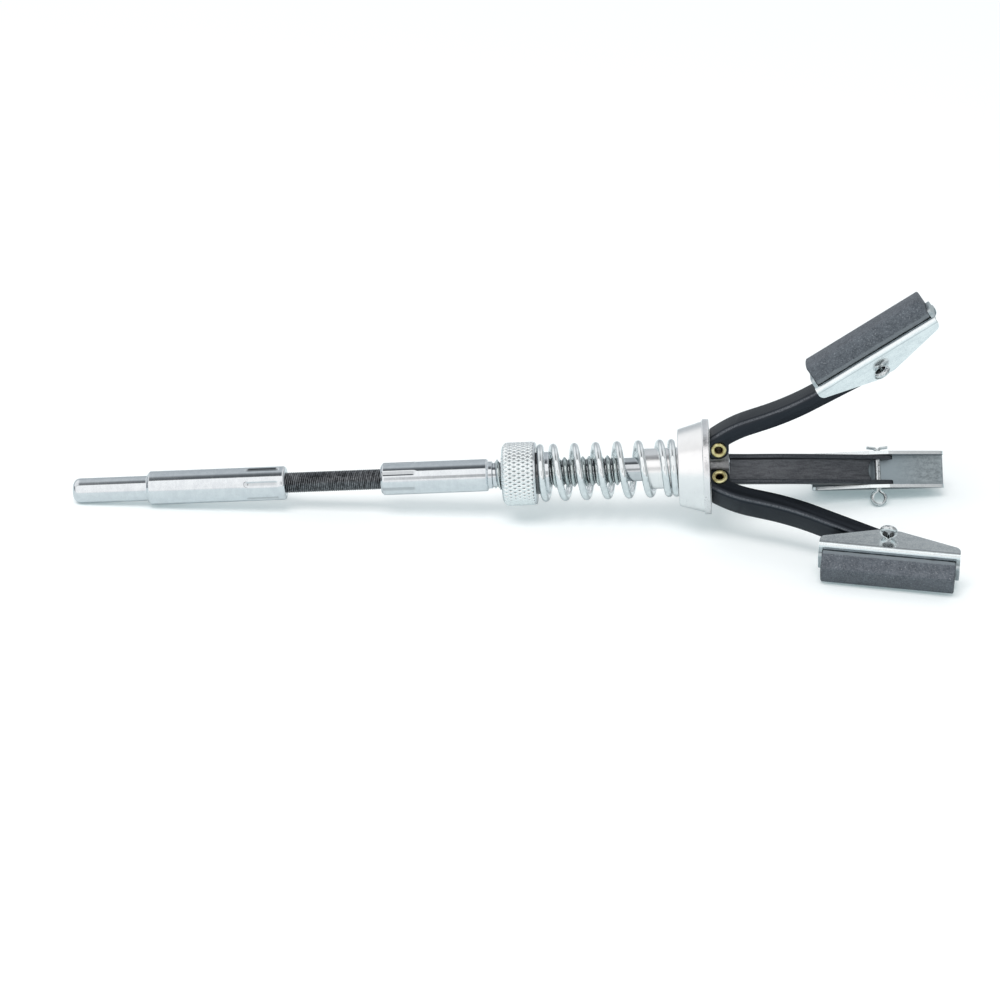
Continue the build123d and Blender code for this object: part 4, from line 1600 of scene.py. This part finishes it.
class HONE_OT_spring(HoneOperator, bpy.types.Operator):
    """Wind the compression spring with closed ends"""

    bl_idname = "hone.spring"
    bl_label = "Spring"

    def execute(self, context):
        settings = context.scene.hone_spring
        wire = settings.wire
        radius = (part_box("spring")[1].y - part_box("spring")[0].y) / 2 - wire / 2
        closed = CLOSED_PITCH * MM
        start = SPRING_START * MM + wire / 2
        travel = (SPRING_END + GROUND) * MM - wire / 2 - start
        open_turns = settings.turns - REAR_CLOSED - FRONT_CLOSED
        pitch = closed + (travel - closed * settings.turns) / open_turns
        split = settings.turns - FRONT_TURNS
        halves = (
            ("rear", 0.0, split, ("spring", "spindle"), SPRING_START, STILL_PLACE),
            ("front", split, settings.turns, ("spindle", "cone"), STILL_PLACE, SPRING_END),
        )
        tree = coil_tree()
        for label, first, last, bodies, bend_start, bend_end in halves:
            coil = grown(
                f"spring_{label}",
                tree,
                {
                    "Turns": settings.turns,
                    "First Turn": first,
                    "Last Turn": last,
                    "Start": start,
                    "Coil Radius": radius,
                    "Wire Radius": wire / 2,
                    "Open Pitch": pitch,
                    "Closed Pitch": closed,
                    "Rear Closed": REAR_CLOSED,
                    "Front Closed": FRONT_CLOSED,
                    "Ground At": SPRING_END * MM,
                    "Start Angle": settings.start_angle,
                    "Points per Turn": 72,
                    "Sides": 24,
                    "Material": finish_once(spring_wire),
                },
            )
            bend_between(coil, bodies, bend_start, bend_end, "spring_zinc", "spring")
        return {"FINISHED"}


class HONE_OT_cone(HoneOperator, bpy.types.Operator):
    """Turn the pressure cone with its spigot and rim"""

    bl_idname = "hone.cone"
    bl_label = "Pressure cone"

    def execute(self, context):
        bore = SHAFT_RADIUS + CONE_CLEARANCE
        profile = rounded_profile(
            [
                (CONE_START, bore, 0),
                (CONE_START, CONE_SPIGOT_RADIUS, 0.3),
                (CONE_FACE, CONE_SPIGOT_RADIUS, 0.1),
                (CONE_FACE, CONE_FACE_RADIUS, 0.35),
                (CONE_RIM_START, CONE_FOOT_RADIUS, 0.08),
                (CONE_RIM_START, CONE_RIM_RADIUS, 0.22),
                (CONE_END, CONE_RIM_RADIUS, 0.22),
                (CONE_END, bore, 0.1),
                (CONE_START, bore, 0),
            ],
            5,
        )
        cone = turned("cone_turned", divided(profile[:-1], 0.7), 160, closed=True)
        carry(paint(cone, turned_cone), "cone", "pressure_cone")
        return {"FINISHED"}


class HONE_OT_hub(HoneOperator, bpy.types.Operator):
    """Finish the hub that carries the arms"""

    bl_idname = "hone.hub"
    bl_label = "Hub"

    def execute(self, context):
        hub = dressed("hub", "hub_finished")
        carry(paint(hub, hub_steel), "spindle", "hub")
        return {"FINISHED"}


class HONE_OT_arms(HoneOperator, bpy.types.Operator):
    """Finish the three bent arms and roll their hollow rivets"""

    bl_idname = "hone.arms"
    bl_label = "Arms"

    def execute(self, context):
        for name, angle in ARM_ANGLES.items():
            origin, axes = pivot_point(angle), side_axes(angle, SPREAD)
            places = local_places(origin, axes)
            arm = dressed(f"{name}_arm", f"{name}_arm_finished", places, ease=0.18)
            inside = ARM_WIDTH / 2 - ARM_SHEET
            mark_inside(arm, axes, inside)
            mark_edges(arm, axes, inside, cut_edge=0.6)
            carry(paint(arm, black_oxide), f"{name}_arm", f"{name}_arm")
            head = ARM_WIDTH / 2 + 0.02
            half = [
                (head, RIVET_RADIUS, 0.0),
                (head, RIVET_HEAD, 0.12),
                (head + RIVET_LIP, RIVET_HEAD - 0.25, 0.22),
                (head + RIVET_LIP, RIVET_BORE + 0.3, 0.25),
                (head + 0.12, RIVET_BORE, 0.0),
            ]
            corners = [(-across, radius, bend) for across, radius, bend in reversed(half)] + half
            rivet = turned_at(f"{name}_rivet_rolled", rounded_profile(corners), origin, axes)
            carry(paint(rivet, yellow_zinc), f"{name}_arm", f"{name}_arm_rivet")
        return {"FINISHED"}


class HONE_OT_shoes(HoneOperator, bpy.types.Operator):
    """Finish the three shoe holders and their stones"""

    bl_idname = "hone.shoes"
    bl_label = "Shoes"

    def execute(self, context):
        for name, angle in ARM_ANGLES.items():
            body = f"{name}_shoe"
            origin, axes = pin_point(angle), side_axes(angle, shoe_tilt(name))
            places = local_places(origin, axes)
            holder = dressed(f"{name}_shoe_holder", f"{name}_holder_finished", places)
            inside = HOLDER_WIDTH / 2 - HOLDER_SHEET
            mark_inside(holder, axes, inside, tab_height=HOLDER_RISE + 0.1)
            mark_edges(holder, axes, inside, cut_edge=0.5)
            carry(paint(holder, pressed_sheet), body, f"{name}_shoe_holder")
            stone = dressed(f"{name}_stone", f"{name}_stone_finished", places, ease=0.12)
            carry(paint(stone, grey_stone), body, f"{name}_stone")
        return {"FINISHED"}


class HONE_OT_pins(HoneOperator, bpy.types.Operator):
    """Bend the three cotter pins that the shoes turn on"""

    bl_idname = "hone.pins"
    bl_label = "Cotter pins"

    def execute(self, context):
        wire = context.scene.hone_shoes.pin_wire / MM
        for name, angle in ARM_ANGLES.items():
            origin, axes = pin_point(angle), side_axes(angle, shoe_tilt(name))
            toward = EYE_SIDES[name]
            flat = (axes[0], axes[1] * toward, axes[2] * toward)
            shells = [half_round(eye_path(wire), wire - 0.03, -1, origin, flat)]
            for leg in (-1, 1):
                shells.append(half_round(leg_path(leg, wire), wire - 0.05, leg, origin, flat))
                shells.append(half_bar(leg, wire, PIN_NECK + 0.1, origin, flat))
            points, faces = joined(shells)
            pin = solid(f"{name}_pin_bent", points, faces, 40.0, local_places(origin, axes))
            mark_eye(pin, axes, toward * EYE_MIDDLE)
            carry(paint(pin, pin_finish), f"{name}_shoe", f"{name}_cotter_pin")
        return {"FINISHED"}


def support_line():
    """Slope and height of the floor, which touches the shank's end and the lower stones."""
    points = []
    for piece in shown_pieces():
        if piece.type == "MESH" and not piece.hide_render:
            values = np.empty(len(piece.data.vertices) * 3)
            piece.data.vertices.foreach_get("co", values)
            points.append(values.reshape(-1, 3)[:, [0, 2]])
    points = np.concatenate(points)
    rear = points[points[:, 0] < 20 * MM]
    front = points[points[:, 0] > 130 * MM]
    slope = 0.0
    for _ in range(20):
        low_rear = rear[np.argmin(rear[:, 1] - slope * rear[:, 0])]
        low_front = front[np.argmin(front[:, 1] - slope * front[:, 0])]
        slope = (low_front[1] - low_rear[1]) / (low_front[0] - low_rear[0])
    return slope, low_rear[1] - slope * low_rear[0]


class HONE_OT_stage(HoneOperator, bpy.types.Operator):
    """Lay the floor and set the light and the camera"""

    bl_idname = "hone.stage"
    bl_label = "Stage"

    def execute(self, context):
        scene = context.scene
        scene.view_settings.view_transform = "Standard"
        self.lay_floor()
        self.light_world(scene)
        self.hang_softbox(scene)
        self.set_camera(scene)
        return {"FINISHED"}

    def lay_floor(self):
        """A wide floor, tilted to touch the shank's end and the lower stones.

        It goes with the spindle, so that the flexible shaft bends over the floor.
        """
        slope, height = support_line()
        reach, gap = 1.2, 0.01 * MM
        corners = [
            (x, y, slope * x + height - gap)
            for x, y in ((-reach, -reach), (reach, -reach), (reach, reach), (-reach, reach))
        ]
        mesh = bpy.data.meshes.new("floor")
        mesh.from_pydata(corners, [], [(0, 1, 2, 3)])
        floor = link("floor", mesh)
        paint(floor, floor_finish)
        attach(floor, "spindle")
        floor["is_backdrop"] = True

    def light_world(self, scene):
        """Soft light all round, white to the camera.

        Glossy rays see a ring with a dark gap overhead, which draws lines on the metal.
        """
        world = bpy.data.worlds.new("studio")
        world.use_nodes = True
        scene.world = world
        graph = Graph(world.node_tree)
        direction = graph.node("ShaderNodeTexCoord")
        x, y, z = graph.split(direction)
        angle = graph.math("ARCTAN2", z, 0.0 - y) / (2 * pi) + 0.5
        ring = graph.node("ShaderNodeValToRGB", {"stops": STUDIO_RING}, {0: angle})
        above = graph.band(angle, 0.7, 0.72)
        # The sky is pale towards both ends of the tool, and a little duller on the stones' side
        pale = graph.band(graph.math("ABSOLUTE", x), 0.15, 0.35) * above
        pale = pale * (0.85 - graph.band(angle, 0.88, 0.94) * 0.77)
        ring = graph.mix(pale, ring, STUDIO_PALE)
        ring = graph.mix(graph.band(x, -0.02, 0.05) * above * 0.4, ring, STUDIO_SOFT)
        # It is dark straight ahead of the stones and straight behind the shank
        ring = graph.mix(graph.band(x, 0.5, 0.75) * 0.6, ring, STUDIO_FRONT)
        ring = graph.mix(graph.band(x, -0.86, -0.93), ring, STUDIO_REAR)
        # A dull opening stands just above the horizon on the camera's side
        opening = graph.band(x, -0.14, -0.08) * (1.0 - graph.band(x, 0.16, 0.22))
        opening = opening * graph.band(angle, 0.53, 0.545) * (1.0 - graph.band(angle, 0.585, 0.6))
        ring = graph.mix(opening * 0.6, ring, STUDIO_OPENING)
        rays = world.node_tree.nodes.new("ShaderNodeLightPath").outputs
        glossy = Socket(graph, rays["Is Glossy Ray"])
        colour = graph.mix(glossy, STUDIO_DIFFUSE, ring)
        colour = graph.mix(Socket(graph, rays["Is Camera Ray"]), colour, (1.0, 1.0, 1.0))
        background = world.node_tree.nodes["Background"]
        graph.feed(background.inputs["Color"], colour)
        background.inputs["Strength"].default_value = 1.0

    def hang_softbox(self, scene):
        """One wide soft lamp overhead, a little towards the camera."""
        lamp = bpy.data.lights.new("softbox", "AREA")
        lamp.shape = "RECTANGLE"
        lamp.size = 1.3
        lamp.size_y = 0.9
        lamp.energy = scene.hone_stage.softbox_power
        softbox = bpy.data.objects.new("softbox", lamp)
        scene.collection.objects.link(softbox)
        softbox.visible_glossy = False
        place = Vector((-0.05, -1.2, 1.84))
        softbox.location = place
        softbox.rotation_euler = (Vector((0.075, 0, 0)) - place).to_track_quat("-Z", "Y").to_euler()

    def set_camera(self, scene):
        """A camera at the photograph's viewing angle."""
        turn, lift, roll = radians(CAMERA_TURN), radians(CAMERA_LIFT), radians(CAMERA_ROLL)
        ahead = Vector((-sin(turn), cos(lift) * cos(turn), -sin(lift) * cos(turn)))
        right = Vector(
            (
                cos(roll) * cos(turn),
                cos(roll) * sin(turn) * cos(lift) - sin(roll) * sin(lift),
                -cos(roll) * sin(turn) * sin(lift) - sin(roll) * cos(lift),
            )
        )
        up = right.cross(ahead)
        camera_data = bpy.data.cameras.new("camera")
        camera_data.sensor_width = 36.0
        camera_data.lens = CAMERA_LENS
        camera_data.clip_start = 0.01
        camera = bpy.data.objects.new("camera", camera_data)
        scene.collection.objects.link(camera)
        place = ahead * -CAMERA_DISTANCE + up * CAMERA_RISE + Vector((CAMERA_PLACE, 0, 0))
        facing = Matrix((right, up, -ahead)).transposed().to_4x4()
        camera.matrix_world = Matrix.Translation(place * MM) @ facing
        scene.camera = camera


class HONE_PT_panel(bpy.types.Panel):
    """Lists the hone's settings and the pieces to make"""

    bl_idname = "HONE_PT_panel"
    bl_label = "Cylinder Hone"
    bl_space_type = "VIEW_3D"
    bl_region_type = "UI"
    bl_category = "Hone"

    def draw(self, context):
        for group in SETTINGS:
            box = self.layout.box()
            settings = getattr(context.scene, group)
            for name in settings.bl_rna.properties.keys():
                if name not in ("rna_type", "name"):
                    box.prop(settings, name)
        for operator in OPERATORS:
            self.layout.operator(operator.bl_idname)


SETTINGS = {
    "hone_metal": HoneMetalSettings,
    "hone_spring": HoneSpringSettings,
    "hone_flex": HoneFlexSettings,
    "hone_arms": HoneArmSettings,
    "hone_shoes": HoneShoeSettings,
    "hone_stage": HoneStageSettings,
}
OPERATORS = (
    HONE_OT_drive_shank,
    HONE_OT_flexible_shaft,
    HONE_OT_spindle,
    HONE_OT_nut,
    HONE_OT_spring,
    HONE_OT_cone,
    HONE_OT_hub,
    HONE_OT_arms,
    HONE_OT_shoes,
    HONE_OT_pins,
    HONE_OT_stage,
)


def register():
    """Registers the settings, the operators and the panel."""
    for name, group in SETTINGS.items():
        bpy.utils.register_class(group)
        setattr(bpy.types.Scene, name, PointerProperty(type=group))
    for operator in OPERATORS:
        bpy.utils.register_class(operator)
    bpy.utils.register_class(HONE_PT_panel)


def unregister():
    """Removes the panel, the operators and the settings."""
    bpy.utils.unregister_class(HONE_PT_panel)
    for operator in reversed(OPERATORS):
        bpy.utils.unregister_class(operator)
    for name, group in SETTINGS.items():
        delattr(bpy.types.Scene, name)
        bpy.utils.unregister_class(group)


def main():
    """Makes every piece in order."""
    register()
    bpy.ops.hone.drive_shank()
    bpy.ops.hone.flexible_shaft()
    bpy.ops.hone.spindle()
    bpy.ops.hone.nut()
    bpy.ops.hone.spring()
    bpy.ops.hone.cone()
    bpy.ops.hone.hub()
    bpy.ops.hone.arms()
    bpy.ops.hone.shoes()
    bpy.ops.hone.pins()
    bpy.ops.hone.stage()


if __name__ == "__main__":
    main()
